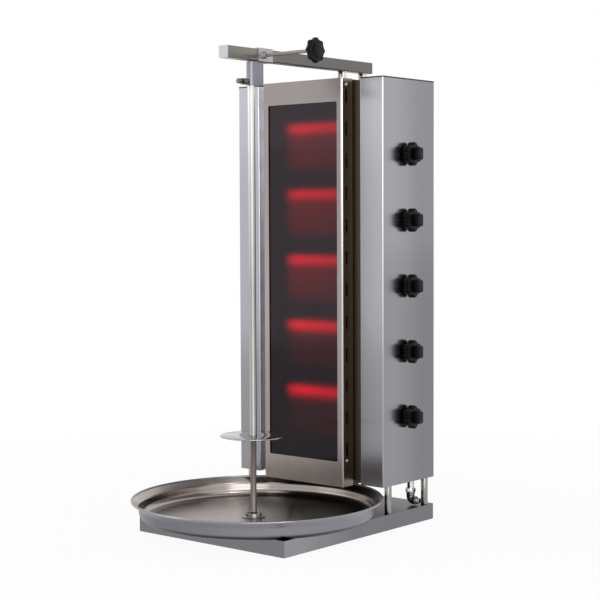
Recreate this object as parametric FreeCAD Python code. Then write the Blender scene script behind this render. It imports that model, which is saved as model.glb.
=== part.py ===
# Gas doner kebab grill: a five burner heater column between two side boxes,
# a round drip pan on a low base, and a hand turned spit held by a sliding holder.
# Millimetres. X is the object's right, Y its back, Z up. The origin is on the ground, in the middle
# between the pan's front rim and the top bar's rear end.
import FreeCAD, Part
import math
import os

V = FreeCAD.Vector

# Base tray
base_width = 424.0
base_depth = 524.0
base_height = 35.0
base_sheet = 1.5
base_bend = 3.0
base_lip = 12.0

# Stiffening channels under the base top
rail_width = 30.0
rail_sheet = 1.5
rail_depth = 20.0
rail_end_gap = 6.0

# Support posts between the base and the side boxes
post_diameter = 16.0
post_side_inset = 9.0
post_front_inset = 29.5
post_pan_gap = 3.0
post_rear_inset = 24.0
post_hole_depth = 14.0
post_length = 62.0

# Body height, shared by the side boxes and the heater
body_height = 900.0

# Side boxes
box_width = 64.0
box_depth = 191.0
shell_sheet = 1.2
shell_bend = 3.0
flange_width = 14.0
cap_thickness = 3.0
cap_lip = 8.0
panel_sheet = 1.2
panel_screw_rows = 4
panel_screw_inset = 23.0
louvre_past_burner = 1.0
louvre_height = 6.0
louvre_pitch = 15.0
louvre_rows = 4
louvre_bridge = 24.0

# Upright channels that tie the heater to the side boxes and close the gaps beside it
tie_sheet = 1.5
tie_depth = 40.0
tie_behind_frame = 7.5
tie_end_gap = 4.0
tie_screw_inset = 28.0

# Heater casing and its front frame
heater_side_gap = 32.0
heater_ahead = 21.0
heater_drop = 7.0
frame_sheet = 1.2
frame_bend = 3.0
frame_return = 36.0
casing_sheet = 1.2
casing_flange = 12.0
lid_sheet = 2.0
lid_lip = 15.0
vent_length = 110.0
vent_pitch = 25.0
vent_rows = 5

# Glass and its opening
opening_stile = 15.5
opening_sill = 56.0
opening_lintel = 51.0
opening_corner = 4.0
glass_overlap = 7.5
glass_thickness = 4.0
seal_thickness = 1.6
seal_width = 6.0

# Cooling slots in the heater's sides
slot_count = 12
slot_first_rise = 26.6
slot_last_drop = 39.0
slot_length = 31.0
slot_width = 7.0
slot_setback = 15.0
side_screw_clear = 24.7

# Burners
burner_count = 5
burner_first_rise = 104.0
burner_last_drop = 147.0
burner_side_gap = 28.6
burner_height = 108.0
burner_depth = 45.0
burner_setback = 46.0
burner_sheet = 1.2
burner_screw_inset = 13.0
plaque_thickness = 12.0
plaque_recess = 2.0
rail_leg = 53.0
venturi_radius = 11.0
venturi_wall = 1.0
venturi_bell = 14.0
venturi_bell_length = 12.0
venturi_past_neck = 0.4
neck_width = 32.0
neck_height = 16.0
injector_gap = 2.0

# Controls and gas train
control_setback = 90.0
control_first_rise = 149.0
control_last_drop = 167.0
valve_size = 24.0
valve_length = 34.0
valve_neck_radius = 8.0
valve_neck_length = 10.8
valve_boss_radius = 6.0
plug_radius = 6.0
plug_length = 23.4
plug_inset = 2.6
spindle_radius = 3.0
spindle_in_knob = 15.0
spindle_in_plug = 12.7
push_travel = 4.0
knob_gap = 5.0
knob_radius = 26.0
knob_lobes = 6
knob_lobe_radius = 9.0
knob_valley = 4.0
knob_skirt = 17.0
grip_height = 28.0
grip_width = 20.0
grip_depth = 15.0
grip_corner = 5.0
manifold_radius = 9.0
manifold_wall = 2.0
manifold_setback = 45.5
manifold_above = 20.0
manifold_foot = 6.0
pipe_radius = 3.0
pipe_bend = 7.0
pipe_straight = 3.0
lead_radius = 1.2
lead_bend = 8.0
lead_offset = 8.0
lead_ahead = 5.0
lead_reach = 25.0
injector_radius = 5.0
injector_collar = 8.0
injector_collar_width = 2.0
injector_orifice = 0.8
injector_tip = 3.0
injector_length = 16.0
injector_boss = 6.0
elbow_below_body = 33.4
elbow_radius = 9.5
elbow_height = 17.6
elbow_nose_radius = 6.58
elbow_nose_length = 10.0
elbow_reach = 26.0
elbow_bore = 4.5
inlet_nut_flats = 20.0
inlet_nut_height = 11.0
nipple_radius = 8.0
nipple_wall = 1.8

# Drip pan
pan_radius = 277.0
pan_height = 44.0
pan_floor_radius = 241.0
pan_corner_radius = 17.0
pan_wall_angle = 84.0
pan_wall_height = 27.0
pan_sheet = 1.2
pan_bead = 2.5
pan_behind_spit = 12.0

# Foot socket in the pan, with its bush and guide peg
spit_from_heater = 169.0
socket_radius = 18.0
socket_height = 9.5
socket_wall = 4.0
socket_cup_depth = 3.5
socket_flange_radius = 25.0
socket_flange = 2.0
bush_radius = 11.0
bush_floor = 2.0
peg_radius = 6.0
peg_length = 8.0
slide_travel = 75.0

# Spit and meat disc
spit_radius = 8.0
spit_low_radius = 6.75
journal_radius = 6.0
spit_chamfer = 1.5
foot_collar_radius = 8.0
foot_collar_height = 3.0
spit_above_hanger = 36.0
groove_radius = 5.0
groove_width = 7.0
disc_radius = 72.5
disc_thickness = 2.5
disc_rise = 177.8
disc_play = 0.25
disc_collar_radius = 10.5
disc_collar_height = 6.0

# Top bar, its spacers and studs
bar_size = 26.0
bar_wall = 2.0
bar_corner = 2.0
bar_ahead_of_spit = 87.0
bar_tail = 19.0
bar_cap = 1.5
bar_plug = 8.0
stud_radius = 2.5
stud_half_spacing = 7.6
stud_tail = 2.0
stud_behind_panel = 13.0
stud_spacing = 77.0
spacer_radius = 5.5
spacer_height = 28.8
saddle_half_width = 30.0
saddle_thickness = 4.0
saddle_margin_front = 27.0
saddle_margin_rear = 16.0
saddle_screw_inset = 8.0
saddle_screw_spacing = 57.0
nut_flats = 8.0
nut_height = 4.0

# Spit holder: sleeve, hanger, clamp screw and latch
sleeve_wall = 1.9
sleeve_length = 46.5
sleeve_ahead = 8.0
hanger_sheet = 1.5
hanger_play = 0.5
hanger_leg = 29.0
hanger_height = 50.4
clamp_radius = 4.0
clamp_behind_spit = 28.0
clamp_nut_flats = 14.0
clamp_nut_height = 8.0
star_radius = 27.0
star_lobes = 8
star_lobe_radius = 6.5
star_valley = 3.0
star_thickness = 14.0
star_centre_x = 158.0
star_hub_radius = 11.0
star_hub = 8.0
latch_rise = 7.0
latch_pin_radius = 2.5
latch_boss_radius = 4.5
latch_boss = 4.5
latch_barrel_radius = 7.0
latch_barrel = 15.0
latch_neck = 3.0
latch_head_radius = 5.5
latch_head = 10.0

# Fasteners
screw_radius = 2.0
screw_head_radius = 4.2
screw_head = 2.4
screw_bite = 3.0
post_screw_radius = 3.0
post_screw_head_radius = 5.5
post_screw_head = 3.0
post_screw_bite = 12.0

# Clearances
hole_gap = 0.2
fit_gap = 0.05
slide_gap = 0.3
seat_gap = 0.2

# Places that follow from the sizes above. The back's face sets the depths: the pan's rim reaches
# forward of it, and the top bar's end behind it.
pan_reach = box_depth + heater_ahead + spit_from_heater - pan_behind_spit + pan_radius
bar_reach = stud_behind_panel + bar_tail
rear_y = (pan_reach - bar_reach) / 2
front_y = rear_y - base_depth
half_width = base_width / 2
box_front = rear_y - box_depth
heater_front = box_front - heater_ahead
spit_y = heater_front - spit_from_heater
pan_y = spit_y + pan_behind_spit
stud_rear_y = rear_y + stud_behind_panel
stud_front_y = stud_rear_y - stud_spacing
bar_front_y = spit_y - bar_ahead_of_spit
bar_length = stud_rear_y + bar_tail - bar_front_y
body_bottom = base_height + post_length
body_top = body_bottom + body_height
box_inner_x = half_width - box_width
box_rear = rear_y - panel_sheet
post_x = half_width - post_side_inset
post_pan_reach = max(pan_radius + post_pan_gap + post_diameter / 2, post_x)
post_front_y = max(box_front + post_front_inset, pan_y + math.sqrt(post_pan_reach ** 2 - post_x ** 2))
post_rear_y = rear_y - post_rear_inset
heater_bottom_z = body_bottom - heater_drop
opening_bottom = heater_bottom_z + opening_sill
opening_top = body_top - opening_lintel
slot_first_z = opening_bottom + slot_first_rise
slot_pitch = (body_top - slot_last_drop - slot_first_z) / (slot_count - 1)
burner_first_z = opening_bottom + burner_first_rise
burner_pitch = (body_top - burner_last_drop - burner_first_z) / (burner_count - 1)
control_first_z = body_bottom + control_first_rise
control_pitch = (body_top - control_last_drop - control_first_z) / (burner_count - 1)
elbow_top_z = body_bottom - elbow_below_body
elbow_axis_z = elbow_top_z - elbow_height
heater_half = box_inner_x - heater_side_gap
opening_half = heater_half - opening_stile
casing_half = heater_half - frame_sheet
casing_inside = casing_half - casing_sheet
burner_half = casing_inside - burner_side_gap
louvre_length = burner_half + louvre_past_burner - louvre_bridge / 2
glass_front_y = heater_front + frame_sheet + seal_thickness
glass_rear_y = glass_front_y + glass_thickness
casing_front_y = glass_rear_y + seal_thickness
lid_top = body_top - frame_sheet
lid_bottom = heater_bottom_z + frame_sheet
slot_y = heater_front + slot_setback
burner_front_y = heater_front + burner_setback
burner_rear_y = burner_front_y + burner_depth
control_y = box_front + control_setback
tie_front_y = heater_front + frame_return + tie_behind_frame
tie_screw_y = tie_front_y + tie_depth / 2
manifold_y = rear_y - manifold_setback
manifold_x = half_width - box_width / 2
panel_inside_x = half_width - shell_sheet
valve_front_x = panel_inside_x - valve_neck_length
valve_rear_x = valve_front_x - valve_length
knob_back_x = half_width + knob_gap
pan_floor_z = base_height + pan_sheet
disc_bottom_z = pan_floor_z + disc_rise
saddle_bottom = lid_top
saddle_top = saddle_bottom + saddle_thickness
bar_bottom_z = saddle_top + spacer_height
bar_half = bar_size / 2
bar_axis_z = bar_bottom_z + bar_half
sleeve_half = bar_half + slide_gap + sleeve_wall
sleeve_front_y = spit_y + sleeve_ahead
sleeve_bottom_z = bar_axis_z - sleeve_half
hanger_bottom_z = sleeve_bottom_z - hanger_height
latch_z = hanger_bottom_z + latch_rise
spit_top_z = hanger_bottom_z + spit_above_hanger
clamp_y = spit_y + clamp_behind_spit
hanger_inside = spit_radius + hanger_play
hanger_outside = hanger_inside + hanger_sheet


def box(x0, x1, y0, y1, z0, z1):
    return Part.makeBox(x1 - x0, y1 - y0, z1 - z0, V(x0, y0, z0))


def cylinder(radius, start, direction, length):
    return Part.makeCylinder(radius, length, start, direction)


def ring(outer, inner, start, direction, length):
    return cylinder(outer, start, direction, length).cut(cylinder(inner, start, direction, length))


def rounded(shape, radius, wanted):
    """Rounds the upright edges whose foot (x, y) is wanted."""
    edges = []
    for edge in shape.Edges:
        ends = [v.Point for v in edge.Vertexes]
        if len(ends) == 2 and abs(ends[0].z - ends[1].z) > 1 and abs(ends[0].x - ends[1].x) < 1e-6:
            if wanted(ends[0].x, ends[0].y):
                edges.append(edge)
    return shape.makeFillet(radius, edges)


def cut_all(shape, tools):
    return shape.cut(tools[0].multiFuse(tools[1:])) if len(tools) > 1 else shape.cut(tools[0])


def hexagon(flats, start, height):
    """A hexagonal prism standing on start."""
    corner = flats / math.sqrt(3)
    turns = [math.radians(60 * i) for i in range(7)]
    points = [start + V(corner * math.cos(a), corner * math.sin(a), 0) for a in turns]
    return Part.Face(Part.makePolygon(points)).extrude(V(0, 0, height))


def bent_rod(points, radius, bend):
    """A round rod along straight runs joined by tangent arcs of one radius."""
    edges = []
    start = points[0]
    for here, after in zip(points[1:-1], points[2:]):
        into = (here - start).normalize()
        out = (after - here).normalize()
        turn = into.getAngle(out)
        back = bend * math.tan(turn / 2)
        first = here - into * back
        last = here + out * back
        inward = (out - into).normalize()
        middle = here + inward * (bend / math.cos(turn / 2) - bend)
        edges.append(Part.LineSegment(start, first).toShape())
        edges.append(Part.Arc(first, middle, last).toShape())
        start = last
    edges.append(Part.LineSegment(start, points[-1]).toShape())
    section = Part.Wire(Part.makeCircle(radius, points[0], points[1] - points[0]))
    return Part.Wire(edges).makePipeShell([section], True, True)


def turned(points, x, y):
    """A solid of revolution about the upright line through (x, y) from (radius, z) corners."""
    corners = [V(x + r, y, z) for r, z in points]
    face = Part.Face(Part.makePolygon(corners + [corners[0]]))
    return face.revolve(V(x, y, 0), V(0, 0, 1), 360)


def mirrored(shape):
    return shape.mirror(V(0, 0, 0), V(1, 0, 0))


def pan_screw(head_seat, direction, length, radius, head_radius, head):
    """A pan head screw whose head seats at head_seat and whose shank runs along direction."""
    shank = cylinder(radius, head_seat, direction, length)
    cap = cylinder(head_radius, head_seat, direction * -1, head)
    return shank.fuse(cap)


def save(name, solids):
    """Writes one node, a single solid or a group of separate solids."""
    shape = solids if isinstance(solids, Part.Shape) else Part.makeCompound(solids)
    shape.exportStep("parts/" + name + ".step")


def burner_heights():
    return [burner_first_z + burner_pitch * i for i in range(burner_count)]


def control_heights():
    return [control_first_z + control_pitch * i for i in range(burner_count)]


def post_places():
    return [(sx * post_x, y) for sx in (-1, 1) for y in (post_front_y, post_rear_y)]


def panel_screw_heights():
    step = (body_height - 2 * panel_screw_inset) / (panel_screw_rows - 1)
    return [body_bottom + panel_screw_inset + step * i for i in range(panel_screw_rows)]


def panel_screw_places():
    """Back panel screws: into both flanges of each side box, and into the casing's back."""
    flange_middle = flange_width / 2
    xs = [box_inner_x + flange_middle, half_width - flange_middle, casing_inside - flange_middle]
    return [(sx * x, z) for x in xs for sx in (-1, 1) for z in panel_screw_heights()]


def side_screw_places():
    """Screws through the frame's returns into the casing, one above and one below the slots."""
    low = slot_first_z - side_screw_clear
    high = slot_first_z + slot_pitch * (slot_count - 1) + side_screw_clear
    return [(sx, z) for sx in (-1, 1) for z in (low, high)]


def tie_places():
    return [(sx, z) for sx in (-1, 1) for z in (body_bottom + tie_screw_inset, body_top - tie_screw_inset)]


def saddle_screw_places():
    x = saddle_half_width - saddle_screw_inset
    front = stud_front_y - saddle_margin_front + saddle_screw_inset
    return [(sx * x, y) for sx in (-1, 1) for y in (front, front + saddle_screw_spacing)]


def burner_screw_places():
    """Two screws on each side hold every burner box to its upright rail."""
    from_end = burner_height / 2 - burner_screw_inset
    x = burner_half - burner_screw_inset
    return [(sx * x, z + dz) for z in burner_heights() for sx in (-1, 1) for dz in (-from_end, from_end)]


def stud_places():
    return [(sx * stud_half_spacing, y) for sx in (-1, 1) for y in (stud_front_y, stud_rear_y)]


def make_base():
    outer = box(-half_width, half_width, front_y, rear_y, 0, base_height)
    outer = rounded(outer, base_bend, lambda x, y: True)
    t = base_sheet
    inner = box(-half_width + t, half_width - t, front_y + t, rear_y - t, t, base_height - t)
    inner = rounded(inner, base_bend - t, lambda x, y: True)
    lip = base_lip
    hatch = box(-half_width + lip, half_width - lip, front_y + lip, rear_y - lip, -1, t + 1)
    tray = outer.cut(inner).cut(hatch)
    half_slot = peg_radius + slide_gap
    z0 = base_height - t - 1
    slot = box(-half_slot, half_slot, spit_y - slide_travel, spit_y, z0, base_height + 1)
    for y in (spit_y, spit_y - slide_travel):
        slot = slot.fuse(cylinder(half_slot, V(0, y, z0), V(0, 0, 1), t + 2))
    holes = [cylinder(post_screw_radius + hole_gap, V(x, y, z0), V(0, 0, 1), t + 2) for x, y in post_places()]
    save("base_tray", cut_all(tray, [slot] + holes))

    rails = []
    top = base_height - base_sheet
    reach = half_width - rail_end_gap
    for y in (post_front_y, post_rear_y):
        half = rail_width / 2
        rail = box(-reach, reach, y - half, y + half, top - rail_depth, top)
        rail = rail.cut(box(-reach - 1, reach + 1, y - half + rail_sheet, y + half - rail_sheet,
                            top - rail_depth - 1, top - rail_sheet))
        holes = [cylinder(post_screw_radius + hole_gap, V(sx * post_x, y, top - rail_sheet - 1), V(0, 0, 1),
                          rail_sheet + 2) for sx in (-1, 1)]
        rails.append(cut_all(rail, holes))
    save("base_stiffeners", rails)


def make_posts():
    posts = []
    screws = []
    bore = post_screw_radius + fit_gap
    web = base_height - base_sheet - rail_sheet
    floor = body_bottom + shell_sheet
    for x, y in post_places():
        post = cylinder(post_diameter / 2, V(x, y, base_height), V(0, 0, 1), body_bottom - base_height)
        low = cylinder(bore, V(x, y, base_height), V(0, 0, 1), post_hole_depth)
        high = cylinder(bore, V(x, y, body_bottom), V(0, 0, -1), post_hole_depth)
        posts.append(post.cut(low).cut(high))
        up = base_height - web + post_screw_bite
        screws.append(pan_screw(V(x, y, web), V(0, 0, 1), up, post_screw_radius,
                                post_screw_head_radius, post_screw_head))
        screws.append(pan_screw(V(x, y, floor), V(0, 0, -1), shell_sheet + post_screw_bite, post_screw_radius,
                                post_screw_head_radius, post_screw_head))
    save("support_posts", posts)
    save("post_screws", screws)


def side_box_shell():
    """The right side box: floor, front and two sides folded from one sheet, open above and behind."""
    t = shell_sheet
    top = body_top - cap_thickness
    outer = box(box_inner_x, half_width, box_front, box_rear, body_bottom, top)
    outer = rounded(outer, shell_bend, lambda x, y: y < box_front + 1)
    inner = box(box_inner_x + t, half_width - t, box_front + t, box_rear + 1, body_bottom + t, top + 1)
    inner = rounded(inner, shell_bend - t, lambda x, y: y < box_front + t + 1)
    shell = outer.cut(inner)
    for x0, x1 in ((box_inner_x, box_inner_x + flange_width), (half_width - flange_width, half_width)):
        shell = shell.fuse(box(x0, x1, box_rear - t, box_rear, body_bottom, top))
    tools = []
    for x, z in panel_screw_places():
        if x > box_inner_x:
            tools.append(cylinder(screw_radius + hole_gap, V(x, box_rear - t - 1, z), V(0, 1, 0), t + 2))
    for x, y in post_places():
        if x > 0:
            tools.append(cylinder(post_screw_radius + hole_gap, V(x, y, body_bottom - 1), V(0, 0, 1), t + 2))
    for sx, z in tie_places():
        if sx > 0:
            start = V(box_inner_x - 1, tie_screw_y, z)
            tools.append(cylinder(screw_radius + hole_gap, start, V(1, 0, 0), t + 2))
    return cut_all(shell.removeSplitter(), tools)


def side_box_cap():
    """The right side box's lid, flush outside, with a lip that drops inside the shell."""
    t = shell_sheet
    low = body_top - cap_thickness
    plate = box(box_inner_x, half_width, box_front, box_rear, low, body_top)
    plate = rounded(plate, shell_bend, lambda x, y: y < box_front + 1)
    gap = t + seat_gap
    lip = box(box_inner_x + gap, half_width - gap, box_front + gap, box_rear - gap, low - cap_lip, low)
    lip = rounded(lip, shell_bend, lambda x, y: y < box_front + gap + 1)
    hollow = box(box_inner_x + gap + t, half_width - gap - t, box_front + gap + t, box_rear - gap - t,
                 low - cap_lip - 1, low)
    return plate.fuse(lip.cut(hollow)).removeSplitter()


def make_side_boxes():
    shell = side_box_shell()
    cap = side_box_cap()
    save("left_box_shell", mirrored(shell))
    save("left_box_top", mirrored(cap))
    tools = []
    for z in control_heights():
        start = V(panel_inside_x - 1, control_y, z)
        tools.append(cylinder(spindle_radius + 1, start, V(1, 0, 0), shell_sheet + 2))
        inner = V(box_inner_x - 1, control_y, z)
        tools.append(cylinder(pipe_radius + hole_gap, inner, V(1, 0, 0), shell_sheet + 2))
        lead = V(box_inner_x - 1, control_y - lead_offset, z - lead_offset)
        tools.append(cylinder(lead_radius + hole_gap, lead, V(1, 0, 0), shell_sheet + 2))
    tools.append(cylinder(nipple_radius + hole_gap, V(manifold_x, manifold_y, body_bottom - 1), V(0, 0, 1),
                          shell_sheet + 2))
    save("control_box_shell", cut_all(shell, tools))
    save("control_box_top", cap)


def make_back_panel():
    panel = box(-half_width, half_width, box_rear, rear_y, body_bottom, body_top)
    tools = []
    for x, z in panel_screw_places():
        tools.append(cylinder(screw_radius + hole_gap, V(x, box_rear - 1, z), V(0, 1, 0), panel_sheet + 2))
    for z in burner_heights():
        for row in range(louvre_rows):
            low = z + (row - (louvre_rows - 1) / 2) * louvre_pitch - louvre_height / 2
            for x0 in (louvre_bridge / 2, -louvre_bridge / 2 - louvre_length):
                tools.append(box(x0, x0 + louvre_length, box_rear - 1, rear_y + 1, low, low + louvre_height))
    notch = saddle_half_width + slide_gap
    tools.append(box(-notch, notch, box_rear - 1, rear_y + 1, saddle_bottom - seat_gap, body_top + 1))
    save("back_panel", cut_all(panel, tools))


def make_ties():
    """Two upright channels, open behind, between the heater and the side boxes."""
    t = tie_sheet
    y0, y1 = tie_front_y, tie_front_y + tie_depth
    low, high = body_bottom + tie_end_gap, body_top - tie_end_gap
    channel = box(casing_half, box_inner_x, y0, y1, low, high)
    channel = channel.cut(box(casing_half + t, box_inner_x - t, y0 + t, y1 + 1, low - 1, high + 1))
    length = box_inner_x - casing_half + 2
    holes = [cylinder(screw_radius + hole_gap, V(casing_half - 1, tie_screw_y, z), V(1, 0, 0), length)
             for sx, z in tie_places() if sx > 0]
    channel = cut_all(channel, holes)
    save("tie_brackets", [channel, mirrored(channel)])


def slot_tools(x_from, x_to):
    tools = []
    for i in range(slot_count):
        z = slot_first_z + slot_pitch * i
        straight = slot_length / 2 - slot_width / 2
        half = slot_width / 2
        tools.append(box(x_from, x_to, slot_y - half, slot_y + half, z - straight, z + straight))
        for end in (-straight, straight):
            tools.append(cylinder(half, V(x_from, slot_y, z + end), V(1, 0, 0), x_to - x_from))
    return tools


def side_screw_tools():
    start = -heater_half - 1
    places = [V(start, slot_y, z) for sx, z in side_screw_places() if sx > 0]
    return [cylinder(screw_radius + hole_gap, p, V(1, 0, 0), 2 * heater_half + 2) for p in places]


def make_heater():
    t = casing_sheet
    low = lid_bottom + lid_sheet
    high = lid_top - lid_sheet
    rear = box_rear
    casing = box(-casing_half, casing_half, casing_front_y, rear, low, high)
    casing = casing.cut(box(-casing_inside, casing_inside, casing_front_y + t, rear - t, low - 1, high + 1))
    mouth = casing_inside - casing_flange
    casing = casing.cut(box(-mouth, mouth, casing_front_y - 1, casing_front_y + t + 1, low - 1, high + 1))
    tools = slot_tools(-casing_half - 1, casing_half + 1) + side_screw_tools()
    for x, z in panel_screw_places():
        if abs(x) < casing_inside:
            tools.append(cylinder(screw_radius + hole_gap, V(x, rear - t - 1, z), V(0, 1, 0), t + 2))
    for sx, z in tie_places():
        start = V(sx * casing_half - 2 * t, tie_screw_y, z)
        tools.append(cylinder(screw_radius + hole_gap, start, V(1, 0, 0), 4 * t))
    for z in burner_heights():
        start = V(casing_inside - 1, control_y, z)
        tools.append(cylinder(injector_radius + hole_gap, start, V(1, 0, 0), t + 2))
    for z in control_heights():
        lead = V(casing_inside - 1, control_y - lead_offset, z - lead_offset)
        tools.append(cylinder(lead_radius + hole_gap, lead, V(1, 0, 0), t + 2))
    save("heater_casing", cut_all(casing, tools))

    inside = casing_inside - seat_gap
    front = casing_front_y + casing_sheet + seat_gap
    back = rear - casing_sheet - seat_gap
    for name, base, up in (("heater_top", high, -1), ("heater_bottom", low - lid_sheet, 1)):
        plate = box(-casing_half, casing_half, casing_front_y, rear, base, base + lid_sheet)
        seat = base if up < 0 else base + lid_sheet
        z0, z1 = sorted((seat, seat + up * lid_lip))
        lips = box(-inside, inside, front, back, z0, z1)
        lips = lips.cut(box(-inside + t, inside - t, front + t, back - t, z0 - 1, z1 + 1))
        lid = plate.fuse(lips)
        if up < 0:
            holes = [cylinder(stud_radius + hole_gap, V(x, y, base - 1), V(0, 0, 1), lid_sheet + 2)
                     for x, y in stud_places() if y < rear]
            holes += [cylinder(screw_radius + hole_gap, V(x, y, base - 1), V(0, 0, 1), lid_sheet + 2)
                      for x, y in saddle_screw_places()]
            holes += side_screw_tools()
        else:
            half = vent_length / 2
            holes = [box(-half, half, y, y + slot_width, base - 1, base + lid_sheet + 1)
                     for y in [burner_front_y + vent_pitch * i for i in range(vent_rows)]]
        save(name, cut_all(lid, holes))


def make_glass_front():
    y1 = heater_front + frame_return
    outer = box(-heater_half, heater_half, heater_front, y1, heater_bottom_z, body_top)
    outer = rounded(outer, frame_bend, lambda x, y: y < heater_front + 1)
    t = frame_sheet
    inner = box(-casing_half, casing_half, heater_front + t, y1 + 1, heater_bottom_z + t, body_top - t)
    inner = rounded(inner, frame_bend - t, lambda x, y: y < heater_front + t + 1)
    window = window_block(0, heater_front - 1, heater_front + t + 1)
    frame = outer.cut(inner).cut(window)
    tools = slot_tools(-heater_half - 1, heater_half + 1) + side_screw_tools()
    save("glass_frame", cut_all(frame, tools))

    glass = window_block(glass_overlap, glass_front_y, glass_rear_y)
    save("ceramic_glass", glass)
    seals = []
    for y0 in (glass_front_y - seal_thickness, glass_rear_y):
        band = window_block(glass_overlap, y0, y0 + seal_thickness)
        seals.append(band.cut(window_block(glass_overlap - seal_width, y0 - 1, y0 + seal_thickness + 1)))
    save("glass_seal", seals)


def window_block(grow, y0, y1):
    """A block as large as the glass opening, grown all round, with rounded corners."""
    half = opening_half + grow
    block = box(-half, half, y0, y1, opening_bottom - grow, opening_top + grow)
    edges = []
    for edge in block.Edges:
        ends = [v.Point for v in edge.Vertexes]
        if abs(ends[0].y - ends[1].y) > 1e-6:
            edges.append(edge)
    return block.makeFillet(opening_corner, edges)


def make_burners():
    t = burner_sheet
    half = burner_half
    half_height = burner_height / 2
    boxes, plaques, venturis = [], [], []
    for z in burner_heights():
        tray = box(-half, half, burner_front_y, burner_rear_y, z - half_height, z + half_height)
        hollow = box(-half + t, half - t, burner_front_y - 1, burner_rear_y - t, z - half_height + t,
                     z + half_height - t)
        tray = tray.cut(hollow)
        neck = box(-neck_width, 0, burner_rear_y - t - 1, burner_rear_y + 1, z - neck_height / 2,
                   z + neck_height / 2)
        holes = [cylinder(screw_radius + hole_gap, V(x, burner_rear_y - t - 1, hz), V(0, 1, 0), t + 2)
                 for x, hz in burner_screw_places() if abs(hz - z) < half_height]
        boxes.append(cut_all(tray, [neck] + holes))
        y0 = burner_front_y + plaque_recess
        plaques.append(box(-half + t, half - t, y0, y0 + plaque_thickness, z - half_height + t,
                           z + half_height - t))
        venturis.append(venturi(z))
    save("burner_boxes", boxes)
    save("burner_plaques", plaques)
    save("burner_venturis", venturis)

    rails = []
    for sx in (-1, 1):
        x0 = casing_inside - rail_leg
        low = lid_bottom + lid_sheet + lid_lip + seat_gap
        high = lid_top - lid_sheet - lid_lip - seat_gap
        front_leg = box(x0, casing_inside, burner_rear_y, burner_rear_y + rail_sheet, low, high)
        side_leg = box(casing_inside - rail_sheet, casing_inside, burner_rear_y - rail_depth,
                       burner_rear_y + rail_sheet, low, high)
        rail = front_leg.fuse(side_leg)
        if sx < 0:
            rail = mirrored(rail)
        tools = [cylinder(screw_radius + hole_gap, V(x, burner_rear_y - 1, z), V(0, 1, 0), rail_sheet + 2)
                 for x, z in burner_screw_places() if x * sx > 0]
        if sx > 0:
            tools += [cylinder(lead_radius + hole_gap, V(lead_run_x(), burner_rear_y - 1, z - lead_offset),
                               V(0, 1, 0), rail_sheet + 2) for z in control_heights()]
        rails.append(cut_all(rail, tools))
    save("burner_rails", rails)


def lead_run_x():
    """Where the thermocouple leads run forward, between the burner boxes and the casing."""
    return (burner_half + casing_inside) / 2


def venturi(z):
    """A mixing tube behind the burner, with a bell mouth facing the injector and a neck into the box."""
    bell_x = casing_inside - injector_length - injector_gap
    x1 = bell_x - venturi_bell_length
    x0 = -neck_width - venturi_past_neck
    axis = V(1, 0, 0)
    body = cylinder(venturi_radius, V(x0, control_y, z), axis, x1 - x0)
    bell = Part.makeCone(venturi_radius, venturi_bell, venturi_bell_length, V(x1, control_y, z), axis)
    neck_y = control_y - venturi_radius / 2
    neck = box(-neck_width, 0, burner_rear_y, neck_y, z - neck_height / 2, z + neck_height / 2)
    outer = body.fuse(bell).fuse(neck)
    w = venturi_wall
    bore = cylinder(venturi_radius - w, V(x0 + w, control_y, z), axis, x1 - x0 - w)
    mouth = V(x1, control_y, z)
    flare = Part.makeCone(venturi_radius - w, venturi_bell - w, venturi_bell_length, mouth, axis)
    half = neck_height / 2 - w
    throat = box(w - neck_width, -w, burner_rear_y - 1, neck_y, z - half, z + half)
    return outer.cut(bore.fuse(flare).fuse(throat))


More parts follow.
